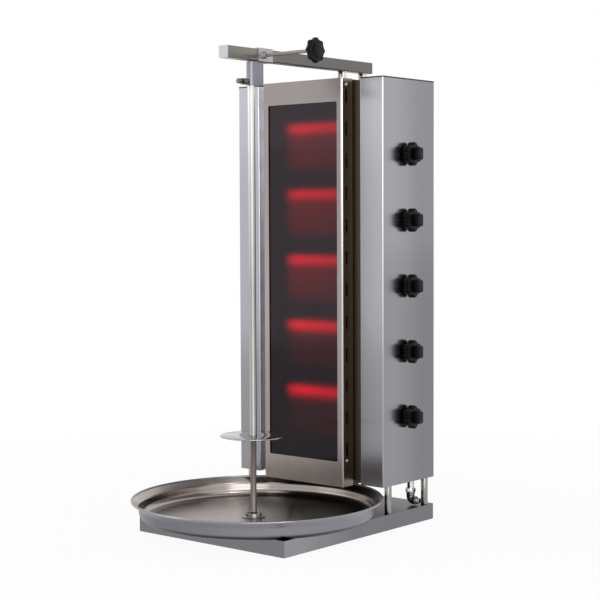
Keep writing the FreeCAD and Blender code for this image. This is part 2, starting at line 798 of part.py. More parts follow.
def make_gas_train():
    axis = V(1, 0, 0)
    valves, pipes, leads, injectors = [], [], [], []
    half = valve_size / 2
    boss_end = (control_y + half + manifold_y - manifold_radius) / 2
    for z, burner_z in zip(control_heights(), burner_heights()):
        body = box(valve_rear_x, valve_front_x, control_y - half, control_y + half, z - half, z + half)
        neck = cylinder(valve_neck_radius, V(valve_front_x, control_y, z), axis, valve_neck_length)
        boss = cylinder(valve_boss_radius, V(manifold_x, control_y, z), V(0, 1, 0), boss_end - control_y)
        bore = cylinder(plug_radius + fit_gap, V(plug_start_x() - slide_gap, control_y, z), axis,
                        plug_length + 2 * slide_gap)
        stem = cylinder(spindle_radius + hole_gap, V(plug_start_x(), control_y, z), axis, valve_length * 2)
        valves.append(body.fuse(neck).fuse(boss).cut(bore).cut(stem))

        inlet_x = casing_half + injector_boss
        far_x = box_inner_x - pipe_straight
        near_x = inlet_x + 2 * pipe_straight
        pipes.append(bent_rod([V(valve_rear_x, control_y, z), V(far_x, control_y, z),
                               V(near_x, control_y, burner_z), V(inlet_x, control_y, burner_z)],
                              pipe_radius, pipe_bend))

        tip_x = casing_inside - injector_length
        jet = cylinder(injector_radius, V(tip_x, control_y, burner_z), axis, inlet_x - tip_x)
        seat = V(casing_inside - injector_collar_width, control_y, burner_z)
        collar = cylinder(injector_collar, seat, axis, injector_collar_width)
        orifice = cylinder(injector_orifice, V(tip_x, control_y, burner_z), axis, injector_length)
        feed = cylinder(pipe_radius - hole_gap, V(tip_x + injector_tip, control_y, burner_z), axis,
                        injector_length + injector_boss)
        injectors.append(jet.fuse(collar).cut(orifice).cut(feed))

        lead_y = control_y - lead_offset
        lead_z = z - lead_offset
        tip_y = burner_front_y - lead_ahead
        tip_x = burner_half - lead_reach
        leads.append(bent_rod([V(valve_rear_x, lead_y, lead_z), V(lead_run_x(), lead_y, lead_z),
                               V(lead_run_x(), tip_y, lead_z), V(tip_x, tip_y, lead_z)],
                              lead_radius, lead_bend))
    save("valve_bodies", valves)
    save("feed_pipes", pipes)
    save("thermocouples", leads)
    save("injectors", injectors)

    top = control_heights()[-1] + manifold_above
    foot = body_bottom + shell_sheet + manifold_foot
    centre = V(manifold_x, manifold_y, foot)
    pipe = cylinder(manifold_radius, centre, V(0, 0, 1), top - foot)
    for z in control_heights():
        pipe = pipe.fuse(cylinder(valve_boss_radius, V(manifold_x, boss_end, z), V(0, 1, 0),
                                  manifold_y - boss_end))
    bore = cylinder(manifold_radius - manifold_wall, centre, V(0, 0, 1), top - foot - manifold_wall)
    save("gas_manifold", pipe.cut(bore))

    nipple = ring(nipple_radius, nipple_radius - nipple_wall, V(manifold_x, manifold_y, elbow_top_z),
                  V(0, 0, 1), foot - elbow_top_z)
    save("inlet_nipple", nipple)
    nut = hexagon(inlet_nut_flats, V(manifold_x, manifold_y, elbow_top_z), inlet_nut_height)
    nut = nut.cut(cylinder(nipple_radius + fit_gap, V(manifold_x, manifold_y, elbow_top_z - 1), V(0, 0, 1),
                           inlet_nut_height + 2))
    save("inlet_nut", nut)
    save("inlet_elbow", inlet_elbow())


def plug_start_x():
    """The plug's inner end; it sits just inside the valve's front face."""
    return valve_front_x - plug_length - plug_inset


def inlet_elbow():
    corner = V(manifold_x, manifold_y, elbow_axis_z)
    axis = V(1, 0, 0)
    body = Part.makeSphere(elbow_radius, corner)
    body = body.fuse(cylinder(elbow_radius, corner, V(0, 0, 1), elbow_top_z - elbow_axis_z))
    body = body.fuse(cylinder(elbow_radius, corner, axis, elbow_reach - elbow_nose_length))
    body = body.fuse(cylinder(elbow_nose_radius, corner, axis, elbow_reach))
    bore = cylinder(elbow_bore, corner, axis, elbow_reach + 1)
    bore = bore.fuse(cylinder(elbow_bore, corner, V(0, 0, 1), elbow_top_z - elbow_axis_z + 1))
    bore = bore.fuse(Part.makeSphere(elbow_bore, corner))
    return body.cut(bore)


def lobed(radius, lobes, lobe_radius, valley, x0, thickness, y, z, first_angle):
    """A lobed hand knob about an X axis: a round middle with round lobes about it."""
    start = V(x0, y, z)
    reach = radius - lobe_radius
    shape = cylinder(radius - valley, start, V(1, 0, 0), thickness)
    for i in range(lobes):
        a = math.radians(first_angle + 360.0 * i / lobes)
        centre = start + V(0, reach * math.sin(a), reach * math.cos(a))
        shape = shape.fuse(cylinder(lobe_radius, centre, V(1, 0, 0), thickness))
    return shape.removeSplitter()


def make_controls():
    axis = V(1, 0, 0)
    for number, z in enumerate(control_heights(), 1):
        start = plug_start_x()
        plug = cylinder(plug_radius, V(start, control_y, z), axis, plug_length)
        inner_end = start + plug_length - spindle_in_plug
        socket_x = inner_end - push_travel - slide_gap
        plug = plug.cut(cylinder(spindle_radius + fit_gap, V(socket_x, control_y, z), axis, plug_length))
        save("valve_plug_%d" % number, plug)

        outer_end = knob_back_x + spindle_in_knob
        save("spindle_%d" % number,
             cylinder(spindle_radius, V(inner_end, control_y, z), axis, outer_end - inner_end))

        knob = lobed(knob_radius, knob_lobes, knob_lobe_radius, knob_valley, knob_back_x, knob_skirt,
                     control_y, z, 180.0 / knob_lobes)
        grip_x = knob_back_x + knob_skirt
        grip = box(grip_x, grip_x + grip_depth, control_y - grip_width / 2, control_y + grip_width / 2,
                   z - grip_height / 2, z + grip_height / 2)
        corners = [e for e in grip.Edges if abs(e.Vertexes[0].X - e.Vertexes[1].X) > 1]
        grip = grip.makeFillet(grip_corner, corners)
        knob = knob.fuse(grip).cut(cylinder(spindle_radius + fit_gap, V(knob_back_x - 1, control_y, z), axis,
                                            spindle_in_knob + 1))
        save("control_knob_%d" % number, knob)


def make_pan():
    """A spun dish: flat floor, round corner, steep wall, short flared lip and a rolled bead at the rim."""
    t = pan_sheet
    wall = math.radians(pan_wall_angle)
    foot = base_height
    bead_r = pan_radius - pan_bead
    bead_z = foot + pan_height - pan_bead

    def at(radius, z):
        return V(radius, pan_y, z)

    def corner(offset, turn):
        radius = pan_corner_radius + offset
        centre_z = foot + pan_corner_radius + t
        return at(pan_floor_radius + radius * math.sin(turn), centre_z - radius * math.cos(turn))

    low = corner(t, wall)
    bend_z = foot + pan_wall_height
    bend = at(low.x + (bend_z - low.z) / math.tan(wall), bend_z)
    flare = math.atan2(bead_z - bend.z, bead_r - bend.x)
    halfway = (wall + flare) / 2
    across = t / math.cos((wall - flare) / 2)
    bend_inside = bend + V(-math.sin(halfway), 0, math.cos(halfway)) * across
    half_sheet = V(math.sin(flare), 0, -math.cos(flare)) * (t / 2)
    outline = [
        Part.LineSegment(at(0, foot), at(pan_floor_radius, foot)),
        Part.Arc(at(pan_floor_radius, foot), corner(t, wall / 2), low),
        Part.LineSegment(low, bend),
        Part.LineSegment(bend, at(bead_r, bead_z) + half_sheet),
        Part.LineSegment(at(bead_r, bead_z) + half_sheet, at(bead_r, bead_z) - half_sheet),
        Part.LineSegment(at(bead_r, bead_z) - half_sheet, bend_inside),
        Part.LineSegment(bend_inside, corner(0, wall)),
        Part.Arc(corner(0, wall), corner(0, wall / 2), at(pan_floor_radius, foot + t)),
        Part.LineSegment(at(pan_floor_radius, foot + t), at(0, foot + t)),
        Part.LineSegment(at(0, foot + t), at(0, foot)),
    ]
    face = Part.Face(Part.Wire([line.toShape() for line in outline]))
    dish = face.revolve(V(0, pan_y, 0), V(0, 0, 1), 360)
    dish = dish.fuse(Part.makeTorus(bead_r, pan_bead, V(0, pan_y, bead_z), V(0, 0, 1)))
    hole = cylinder(peg_radius + hole_gap, V(0, spit_y, foot - 1), V(0, 0, 1), t + 2)
    save("drip_pan", dish.cut(hole))


def make_foot():
    z0 = pan_floor_z
    up = V(0, 0, 1)
    cup = cylinder(socket_radius, V(0, spit_y, z0), up, socket_height)
    cup = cup.fuse(cylinder(socket_flange_radius, V(0, spit_y, z0), up, socket_flange))
    peg_low = base_height - peg_length
    cup = cup.fuse(cylinder(peg_radius, V(0, spit_y, peg_low), up, z0 - peg_low))
    rim_z = z0 + socket_height
    cup = cup.cut(cylinder(socket_radius - socket_wall, V(0, spit_y, rim_z - socket_cup_depth), up,
                           socket_cup_depth + 1))
    seat_z = z0 + bush_floor
    bush_height = socket_height - socket_cup_depth - bush_floor
    cup = cup.cut(cylinder(bush_radius, V(0, spit_y, seat_z), up, socket_height))
    save("foot_socket", cup)
    save("foot_bush", ring(bush_radius, journal_radius + fit_gap, V(0, spit_y, seat_z), up, bush_height))


def make_spit():
    foot = pan_floor_z + bush_floor + slide_gap
    shoulder = pan_floor_z + socket_height - socket_cup_depth + slide_gap
    collar_z = pan_floor_z + socket_height + seat_gap
    chamfer = spit_chamfer
    rest = disc_bottom_z - seat_gap
    groove_low = latch_z - groove_width / 2
    groove_high = latch_z + groove_width / 2
    outline = [
        (0, foot), (journal_radius - chamfer, foot), (journal_radius, foot + chamfer),
        (journal_radius, shoulder), (spit_low_radius, shoulder), (spit_low_radius, collar_z),
        (foot_collar_radius, collar_z), (foot_collar_radius, collar_z + foot_collar_height),
        (spit_low_radius, collar_z + foot_collar_height), (spit_low_radius, rest - disc_collar_height),
        (disc_collar_radius, rest - disc_collar_height), (disc_collar_radius, rest), (spit_radius, rest),
        (spit_radius, groove_low), (groove_radius, groove_low), (groove_radius, groove_high),
        (spit_radius, groove_high), (spit_radius, spit_top_z - chamfer), (spit_radius - chamfer, spit_top_z),
        (0, spit_top_z),
    ]
    save("spit_rod", turned(outline, 0, spit_y))
    disc = ring(disc_radius, spit_radius + disc_play, V(0, spit_y, disc_bottom_z), V(0, 0, 1), disc_thickness)
    save("meat_disc", disc)


def make_top_bar():
    y1 = bar_front_y + bar_length
    body = bar_block(bar_half, bar_front_y + bar_cap, y1 - bar_cap, bar_corner)
    bore = box(-bar_half + bar_wall, bar_half - bar_wall, bar_front_y - 1, y1 + 1,
               bar_bottom_z + bar_wall, bar_bottom_z + bar_size - bar_wall)
    save("top_bar", body.cut(bore))
    caps = []
    inside = bar_half - bar_wall - seat_gap
    for y_cap, y_plug in ((bar_front_y, bar_front_y + bar_cap), (y1 - bar_cap, y1 - bar_cap - bar_plug)):
        plate = bar_block(bar_half, y_cap, y_cap + bar_cap, bar_corner)
        plug = box(-inside, inside, y_plug, y_plug + bar_plug, bar_axis_z - inside, bar_axis_z + inside)
        caps.append(plate.fuse(plug))
    save("bar_end_caps", caps)

    up = V(0, 0, 1)
    spacers, studs = [], []
    tools = []
    for x, y in stud_places():
        tools.append(cylinder(stud_radius + hole_gap, V(x, y, saddle_bottom - 1), up, saddle_thickness + 2))
        inboard = y < box_rear
        seat = saddle_bottom - lid_sheet if inboard else saddle_bottom
        low = seat - nut_height - stud_tail
        stud = cylinder(stud_radius, V(x, y, low), up, bar_bottom_z - low)
        nut = hexagon(nut_flats, V(x, y, seat - nut_height), nut_height)
        studs.append(stud.fuse(nut))
        if x < 0:
            spacers.append(ring(spacer_radius, stud_radius + hole_gap, V(x, y, saddle_top), up,
                                bar_bottom_z - saddle_top))
    save("bar_studs", studs)
    save("bar_spacers", spacers)
    saddle = box(-saddle_half_width, saddle_half_width, stud_front_y - saddle_margin_front,
                 stud_rear_y + saddle_margin_rear, saddle_bottom, saddle_top)
    for x, y in saddle_screw_places():
        tools.append(cylinder(screw_radius + hole_gap, V(x, y, saddle_bottom - 1), up, saddle_thickness + 2))
    save("bar_saddle", cut_all(saddle, tools))


def bar_block(half, y0, y1, corner):
    """A square block along Y about the bar's axis, with its long edges rounded."""
    block = box(-half, half, y0, y1, bar_axis_z - half, bar_axis_z + half)
    edges = [e for e in block.Edges if abs(e.Vertexes[0].Y - e.Vertexes[1].Y) > 1e-6]
    return block.makeFillet(corner, edges)


def make_holder():
    y0 = sleeve_front_y
    y1 = y0 + sleeve_length
    outer = bar_block(sleeve_half, y0, y1, bar_corner)
    bore = bar_block(bar_half + slide_gap, y0 - 1, y1 + 1, bar_corner)
    sleeve = outer.cut(bore)
    nut_x = sleeve_half
    boss = hexagon(clamp_nut_flats, V(0, 0, 0), clamp_nut_height)
    boss.rotate(V(0, 0, 0), V(0, 1, 0), 90)
    boss.translate(V(nut_x, clamp_y, bar_axis_z))
    screw_way = cylinder(clamp_radius + fit_gap, V(bar_half, clamp_y, bar_axis_z), V(1, 0, 0),
                         sleeve_wall + clamp_nut_height + 2)
    save("holder_sleeve", sleeve.fuse(boss).cut(screw_way))

    height = sleeve_bottom_z - hanger_bottom_z
    up = V(0, 0, 1)
    leg_end = spit_y + hanger_leg

    def plug(radius):
        round_end = cylinder(radius, V(0, spit_y, hanger_bottom_z), up, height)
        return round_end.fuse(box(-radius, radius, spit_y, leg_end, hanger_bottom_z, sleeve_bottom_z))

    hanger = plug(hanger_outside).cut(plug(hanger_inside).fuse(
        box(-hanger_inside, hanger_inside, spit_y, leg_end + 1, hanger_bottom_z, sleeve_bottom_z)))
    forward = V(0, -1, 0)
    pin_way = cylinder(latch_pin_radius + hole_gap, V(0, spit_y, latch_z), forward, hanger_outside + 1)
    save("spit_hanger", hanger.cut(pin_way))

    root_y = spit_y - hanger_outside
    cheek_z = latch_z - latch_barrel_radius
    cheek = cylinder(hanger_outside, V(0, spit_y, cheek_z), up, 2 * latch_barrel_radius)
    boss = cylinder(latch_boss_radius, V(0, root_y + hanger_sheet, latch_z), forward,
                    latch_boss + hanger_sheet)
    boss = boss.cut(cheek)
    barrel_y = root_y - latch_boss
    barrel = cylinder(latch_barrel_radius, V(0, barrel_y, latch_z), forward, latch_barrel)
    way = cylinder(latch_pin_radius + hole_gap, V(0, spit_y, latch_z), forward,
                   hanger_outside + latch_boss + latch_barrel + 1)
    save("latch_barrel", boss.fuse(barrel).cut(way))

    tip_y = spit_y - groove_radius - slide_gap
    neck_end = barrel_y - latch_barrel - latch_neck
    pin = cylinder(latch_pin_radius, V(0, tip_y, latch_z), forward, tip_y - neck_end)
    head = cylinder(latch_head_radius, V(0, neck_end, latch_z), forward, latch_head)
    save("latch_plunger", pin.fuse(head))


def make_clamp():
    axis = V(1, 0, 0)
    tip_x = bar_half + fit_gap
    knob_x = star_centre_x - star_thickness / 2
    screw_end = star_centre_x
    save("clamp_screw", cylinder(clamp_radius, V(tip_x, clamp_y, bar_axis_z), axis, screw_end - tip_x))
    knob = lobed(star_radius, star_lobes, star_lobe_radius, star_valley, knob_x, star_thickness, clamp_y,
                 bar_axis_z, 0.0)
    hub = cylinder(star_hub_radius, V(knob_x - star_hub, clamp_y, bar_axis_z), axis, star_hub)
    hole = cylinder(clamp_radius + fit_gap, V(knob_x - star_hub - 1, clamp_y, bar_axis_z), axis,
                    screw_end - knob_x + star_hub + 1)
    save("star_knob", knob.fuse(hub).cut(hole))


def make_case_screws():
    screws = []

    def add(seat, direction, length):
        screws.append(pan_screw(seat, direction, length, screw_radius, screw_head_radius, screw_head))

    for x, z in panel_screw_places():
        add(V(x, rear_y, z), V(0, -1, 0), panel_sheet + shell_sheet + screw_bite)
    for sx, z in side_screw_places():
        add(V(sx * heater_half, slot_y, z), V(-sx, 0, 0), frame_sheet + casing_sheet + screw_bite)
    for sx, z in tie_places():
        seat = V(sx * (box_inner_x + shell_sheet), tie_screw_y, z)
        add(seat, V(-sx, 0, 0), shell_sheet + tie_sheet + screw_bite)
        add(V(sx * casing_inside, tie_screw_y, z), V(sx, 0, 0), casing_sheet + tie_sheet + screw_bite)
    for x, y in saddle_screw_places():
        add(V(x, y, saddle_top), V(0, 0, -1), saddle_thickness + lid_sheet + screw_bite)
    for x, z in burner_screw_places():
        add(V(x, burner_rear_y + rail_sheet, z), V(0, -1, 0), rail_sheet + burner_sheet + screw_bite)
    save("case_screws", screws)


def main():
    os.makedirs("parts", exist_ok=True)
    make_base()
    make_posts()
    make_side_boxes()
    make_back_panel()
    make_ties()
    make_heater()
    make_glass_front()
    make_burners()
    make_gas_train()
    make_controls()
    make_pan()
    make_foot()
    make_spit()
    make_top_bar()
    make_holder()
    make_clamp()
    make_case_screws()


main()
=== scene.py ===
"""Finishes, detail pieces, camera and studio for a gas doner kebab grill.

Every size is in metres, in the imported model's own frame: X to the object's
right, Y to its back and Z up from the worktop.
"""
from __future__ import annotations

import logging
import math
from dataclasses import dataclass, field
from enum import Enum
from typing import Any, Callable, Sequence

import bmesh
import bpy
from mathutils import Matrix, Vector

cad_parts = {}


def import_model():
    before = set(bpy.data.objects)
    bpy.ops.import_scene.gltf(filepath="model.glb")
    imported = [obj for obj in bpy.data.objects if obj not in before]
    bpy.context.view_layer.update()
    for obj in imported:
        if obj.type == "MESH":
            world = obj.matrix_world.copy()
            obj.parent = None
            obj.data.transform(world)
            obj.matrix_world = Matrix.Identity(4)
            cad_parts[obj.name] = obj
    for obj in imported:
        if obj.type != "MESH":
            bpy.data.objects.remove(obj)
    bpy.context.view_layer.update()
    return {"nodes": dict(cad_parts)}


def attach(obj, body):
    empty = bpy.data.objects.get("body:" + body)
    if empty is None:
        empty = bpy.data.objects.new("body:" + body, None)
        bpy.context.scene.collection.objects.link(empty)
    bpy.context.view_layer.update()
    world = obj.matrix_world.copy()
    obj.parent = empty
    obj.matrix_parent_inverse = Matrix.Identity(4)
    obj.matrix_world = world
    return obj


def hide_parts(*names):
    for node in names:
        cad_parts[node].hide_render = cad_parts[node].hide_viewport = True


LOG = logging.getLogger("doner_grill")
MM = 0.001

Tree = bpy.types.NodeTree
Socket = bpy.types.NodeSocket
Material = bpy.types.Material
Mesh = bmesh.types.BMesh
Edge = bmesh.types.BMEdge
Stops = Sequence[tuple[float, Any]]
Pair = tuple[float, float]
Corners = Sequence[Pair]
Triple = tuple[float, float, float]

# Settings that many nodes share.
SMOOTH = {"interpolation_type": "SMOOTHSTEP"}
TIMES = {"operation": "MULTIPLY"}
PAINT = {"data_type": "RGBA"}
STAIN = {"data_type": "RGBA", "blend_type": "MULTIPLY"}

# A noise pattern's values lie mostly between these two.
NOISE = (0.3, 0.7)
# How squarely a face looks along an axis, from where it begins to count to where it does in full.
SQUARE_ON = (0.8, 0.95)
# The product of a normal's X and Y parts, from where a fold's painted highlight begins to where it is full.
FOLD_TURN = (0.06, 0.28)


class Axis(Enum):
    """The way that a grain, a bar or a spindle runs."""

    X = 0
    Y = 1
    Z = 2

    @property
    def vector(self) -> Vector:
        """The axis as a unit vector."""
        return Vector([1.0 if i == self.value else 0.0 for i in range(3)])


# Where a screw's head seats, the axis that it faces, whether against it, and the shank's length.
Seat = tuple[Triple, Axis, bool, float]


# --- Nodes and colours -------------------------------------------------------


def linear(hex_colour: str) -> tuple[float, float, float, float]:
    """Turn an sRGB hex colour into the linear colour that a shader takes.

    Args:
        hex_colour: Six hex digits, such as "b4b4b8".

    Returns:
        Red, green and blue, linear, and an opacity of one.
    """
    parts = [int(hex_colour[start:start + 2], 16) / 255.0 for start in (0, 2, 4)]
    red, green, blue = (part / 12.92 if part <= 0.04045 else ((part + 0.055) / 1.055) ** 2.4
                        for part in parts)
    return (red, green, blue, 1.0)


def add(tree: Tree, kind: str, inputs: Any = (), out: Any = 0, stops: Stops = (), **settings: Any) -> Any:
    """Add one node with its settings, and join or set its inputs.

    Args:
        tree: The node tree to add to.
        kind: The node's type name, after ShaderNode.
        inputs: Its first inputs in a row, or a dict of them by name or number. Each is a
            socket, a plain value or a hex colour.
        out: The output that is wanted, by name or number, or None for the node itself.
        stops: A colour ramp's places, with a hex colour or a grey value each.
        **settings: Attributes of the node.

    Returns:
        The output's socket, or the node.
    """
    node = tree.nodes.new("ShaderNode" + kind)
    for name, value in settings.items():
        setattr(node, name, value)
    if stops:
        points = node.color_ramp.elements
        while len(points) < len(stops):
            points.new(0.5)
        for point, (place, value) in zip(points, stops):
            point.position = place
            point.color = linear(value) if isinstance(value, str) else (value, value, value, 1.0)
    for name, value in (inputs if isinstance(inputs, dict) else dict(enumerate(inputs))).items():
        if isinstance(value, Socket):
            tree.links.new(value, node.inputs[name])
        else:
            node.inputs[name].default_value = linear(value) if isinstance(value, str) else value
    return node if out is None else node.outputs[out]


def shaded(name: str, shader: Callable[[Tree], Socket]) -> Material:
    """Make a material.

    Args:
        name: The material's name.
        shader: What adds the material's nodes to a tree and gives the shader's socket.

    Returns:
        The material.
    """
    material = bpy.data.materials.new(name)
    material.use_nodes = True
    tree = material.node_tree
    tree.nodes.clear()
    add(tree, "OutputMaterial", (shader(tree),), None)
    return material


def object_place(tree: Tree, shift: Sequence[float] = (0, 0, 0),
                 scale: Sequence[float] = (1, 1, 1)) -> Socket:
    """Object coordinates, moved and then scaled.

    Args:
        tree: The node tree.
        shift: What is added to the place, in metres.
        scale: What the moved place is multiplied by, axis by axis.

    Returns:
        The vector socket.
    """
    moved = add(tree, "VectorMath", (add(tree, "TexCoord", out="Object"), shift), operation="ADD")
    return add(tree, "VectorMath", (moved, scale), **TIMES)


def where(tree: Tree, axis: Axis) -> Socket:
    """How far a point lies along one of the object's axes, in metres."""
    return add(tree, "SeparateXYZ", (object_place(tree),), axis.value)


def facing(tree: Tree, axis: Axis) -> Socket:
    """How squarely the surface looks along one of the object's axes, from -1 to 1."""
    return add(tree, "SeparateXYZ", (add(tree, "NewGeometry", out="Normal"),), axis.value)


def up_the_height(tree: Tree, stops: Stops) -> Socket:
    """A ramp over the height, whose stops are in metres from the worktop."""
    return add(tree, "ValToRGB", (where(tree, Axis.Z),), stops=stops)


def folded(tree: Tree) -> Socket:
    """One on an upright fold, where the sheet turns from one face to the next; the painted fold highlights go
    there.
    """
    turn = add(tree, "Math", (facing(tree, Axis.X), facing(tree, Axis.Y)), **TIMES)
    return add(tree, "MapRange", (add(tree, "Math", (turn,), operation="ABSOLUTE"), *FOLD_TURN), **SMOOTH)


def coated(tree: Tree, colour: Any, *coats: tuple[Any, Any]) -> Socket:
    """Lay other colours over a colour, one after the other.

    Args:
        tree: The node tree.
        colour: What lies below: a socket or a hex colour.
        *coats: The share that each coat covers, with the coat's own colour.

    Returns:
        The colour's socket.
    """
    for share, coat in coats:
        colour = add(tree, "Mix", {0: share, 6: colour, 7: coat}, 2, **PAINT)
    return colour


# --- Finishes ----------------------------------------------------------------


@dataclass(frozen=True)
class Finish:
    """A metal or a moulding with two close tones, small mottling and a fine skin.

    The eye sees one colour whose gloss wanders a little. The grit is drawn a few times coarser
    than the real one, so that it shows.
    """

    name: str
    light: str
    dark: str
    roughness: float = 0.3
    variation: float = 0.06
    bump: float = 0.1
    relief: float = 0.08 * MM
    metallic: float = 1.0
    shine: float = 0.5
    across: float = 0.0
    grit: float = 1.2 * MM
    mottle: float = 45.0

    def shader(self, tree: Tree) -> Socket:
        """The surface, from its patterns, its tones and its roughness."""
        fine, tone, wear = self.patterns(tree)
        rough = add(tree, "MapRange", (wear, *NOISE, self.roughness - self.variation,
                                       self.roughness + self.variation))
        return add(tree, "BsdfPrincipled", {
            "Base Color": self.tinted(tree, coated(tree, self.dark, (tone, self.light))),
            "Roughness": self.dulled(tree, rough),
            "Normal": add(tree, "Bump", {"Height": fine, "Strength": self.bump, "Distance": self.relief}),
            "Metallic": self.metallic, "Specular IOR Level": self.shine, "Anisotropic": self.across})

    def patterns(self, tree: Tree) -> tuple[Socket, Socket, Socket]:
        """The relief's pattern, the light tone's share, and the pattern that the roughness follows."""
        fine, broad = (add(tree, "TexNoise", {"Vector": object_place(tree), "Scale": scale, "Detail": 3.0,
                                              "Roughness": 0.6}) for scale in (1.0 / self.grit, self.mottle))
        return fine, add(tree, "MapRange", (broad, *NOISE)), broad

    def tinted(self, tree: Tree, colour: Socket) -> Socket:
        """The colour as it is; a finish that differs from place to place changes it."""
        return colour

    def dulled(self, tree: Tree, rough: Socket) -> Socket:
        """The roughness as it is; the pan's finish changes it."""
        return rough


@dataclass(frozen=True)
class BrushedSteel(Finish):
    """Stainless sheet, belt ground with a fine grit.

    The eye sees soft streaks along the grain and a reflection that is blurred across them.
    The real scratches are about 0.05 mm wide; they are drawn as coarse as streak to show.
    """

    light: str = "939398"
    dark: str = "8e8e93"
    roughness: float = 0.26
    variation: float = 0.03
    bump: float = 0.015
    relief: float = 0.1 * MM
    across: float = 0.55
    grain: Axis = Axis.Z
    streak: Corners = ((1.1 * MM, 160 * MM), (62.5 * MM, 1.0 / 3.0))
    both_patterns: Pair = (0.75, 1.25)

    def patterns(self, tree: Tree) -> tuple[Socket, Socket, Socket]:
        """Fine streaks along the grain, and the share that they and long pale patches give."""
        found = []
        for (width, length), detail, rough in zip(self.streak, (3.0, 2.0), (0.6, 0.5)):
            scale = [1.0 / width] * 3
            scale[self.grain.value] = 1.0 / length
            found.append(add(tree, "TexNoise", {"Vector": object_place(tree, scale=scale), "Scale": 1.0,
                                                "Detail": detail, "Roughness": rough}))
        mixed = add(tree, "Math", found, operation="ADD")
        return found[0], add(tree, "MapRange", (mixed, *self.both_patterns)), found[0]


# Painted reflection on the sheet beside the heater: a pale ramp, lighter towards its top, where that sheet
# mirrors more light.
PAINTED_GAP_REFLECTION = ((0.30, "bcbabf"), (0.54, "c0bec4"), (0.76, "d8d6db"), (0.96, "dcdce0"))


@dataclass(frozen=True)
class BoxSheet(BrushedSteel):
    """The side boxes' sheet: ground outside, with a painted highlight on its folds.

    Its inner walls face the heater: the left one carries a painted reflection, lighter towards its top; the
    right one is heat browned, with painted shade of the gap.
    """

    inner_x: float = 0.1495
    duller: str = "e2e2e2"
    duller_y: Pair = (0.15, 0.27)
    # Heat brown of the right inner wall, darkened as painted shade of the gap.
    browned: str = "c0bab2"
    # Painted highlight on the folds, lighter towards the top.
    fold: Stops = ((0.10, "9a9a9e"), (0.54, "adadb3"), (0.78, "c8c8cd"), (0.97, "eaeaec"))

    def tinted(self, tree: Tree, colour: Socket) -> Socket:
        """Painted highlight on the folds, darker towards the back of the right side, and where it faces the
        heater a painted reflection on the left or heat brown with painted gap shade on the right.
        """
        x = where(tree, Axis.X)
        outer = add(tree, "MapRange", (facing(tree, Axis.X), *SQUARE_ON), **SMOOTH)
        rear = add(tree, "MapRange", (where(tree, Axis.Y), *self.duller_y), **SMOOTH)
        right_side_to_back = add(tree, "Math", (outer, rear), **TIMES)
        colour = add(tree, "Mix", {0: right_side_to_back, 6: colour, 7: self.duller}, 2, **STAIN)
        right = add(tree, "Math", (x, 0.0), operation="GREATER_THAN")
        inner = add(tree, "Math", (add(tree, "Math", (x,), operation="ABSOLUTE"), self.inner_x),
                    operation="LESS_THAN")
        walls = coated(tree, up_the_height(tree, PAINTED_GAP_REFLECTION), (right, self.browned))
        return coated(tree, colour, (folded(tree), up_the_height(tree, self.fold)), (inner, walls))


@dataclass(frozen=True)
class TieSheet(BrushedSteel):
    """The ties beside the heater: smooth rolled sheet, with a painted reflection on the left, lighter towards
    the top, and heat brown with painted gap shade on the gas box's side.
    """

    # Heat brown, darkened as painted shade of the gap.
    browned: str = "645c52"

    def tinted(self, tree: Tree, colour: Socket) -> Socket:
        """Painted reflection left of the middle; heat brown with painted gap shade right of it."""
        right = add(tree, "Math", (where(tree, Axis.X), 0.0), operation="GREATER_THAN")
        return coated(tree, up_the_height(tree, PAINTED_GAP_REFLECTION), (right, self.browned))


@dataclass(frozen=True)
class HeaterFrameSheet(BrushedSteel):
    """The heater's front frame: ground steel warmed to a straw tint, deepest at its hot top.

    Its folds, and a strip beside the right one, carry a painted highlight. The right side is browned by the
    gas box's heat and darkened as painted shade of the gap; the left one carries a painted reflection,
    lighter towards its top.
    """

    warmth: Stops = ((0.10, 1.0), (0.30, 1.0), (0.54, 0.92), (0.76, 0.74), (0.97, 0.62))
    # Painted highlight on the folds, lighter towards the top.
    fold: Stops = ((0.10, "a6a2a0"), (0.30, "b0aeac"), (0.54, "b4b0af"), (0.80, "ece8e6"))
    # Heat brown of the right return, darkened as painted shade of the gap.
    browned: str = "8c7f70"
    half: float = 0.1145
    # Where the painted highlight strip beside the right fold begins and where it is full.
    highlight_strip_x: Pair = (0.1105, 0.1130)
    side_on: Pair = (0.97, 0.995)

    def tinted(self, tree: Tree, colour: Socket) -> Socket:
        """Deeper at the top, a painted highlight on the folds and on a strip beside the right one, heat brown
        with painted gap shade on the right return, and a painted reflection on the left one.
        """
        x, turn = where(tree, Axis.X), facing(tree, Axis.X)
        outside = add(tree, "Math", (add(tree, "Math", (x,), operation="ABSOLUTE"), self.half),
                      operation="GREATER_THAN")
        colour = add(tree, "Mix", {0: 1.0, 6: colour, 7: up_the_height(tree, self.warmth)}, 2, **STAIN)
        fold = add(tree, "Math", (folded(tree), outside), **TIMES)
        front = add(tree, "MapRange", (x, *self.highlight_strip_x), **SMOOTH)
        colour = coated(tree, colour, (add(tree, "Math", (fold, front), operation="MAXIMUM"),
                                       up_the_height(tree, self.fold)))
        for side, tint in ((1, self.browned), (-1, up_the_height(tree, PAINTED_GAP_REFLECTION))):
            share = add(tree, "MapRange", (turn, *(side * end for end in self.side_on)), **SMOOTH)
            colour = coated(tree, colour, (add(tree, "Math", (share, outside), **TIMES), tint))
        return colour


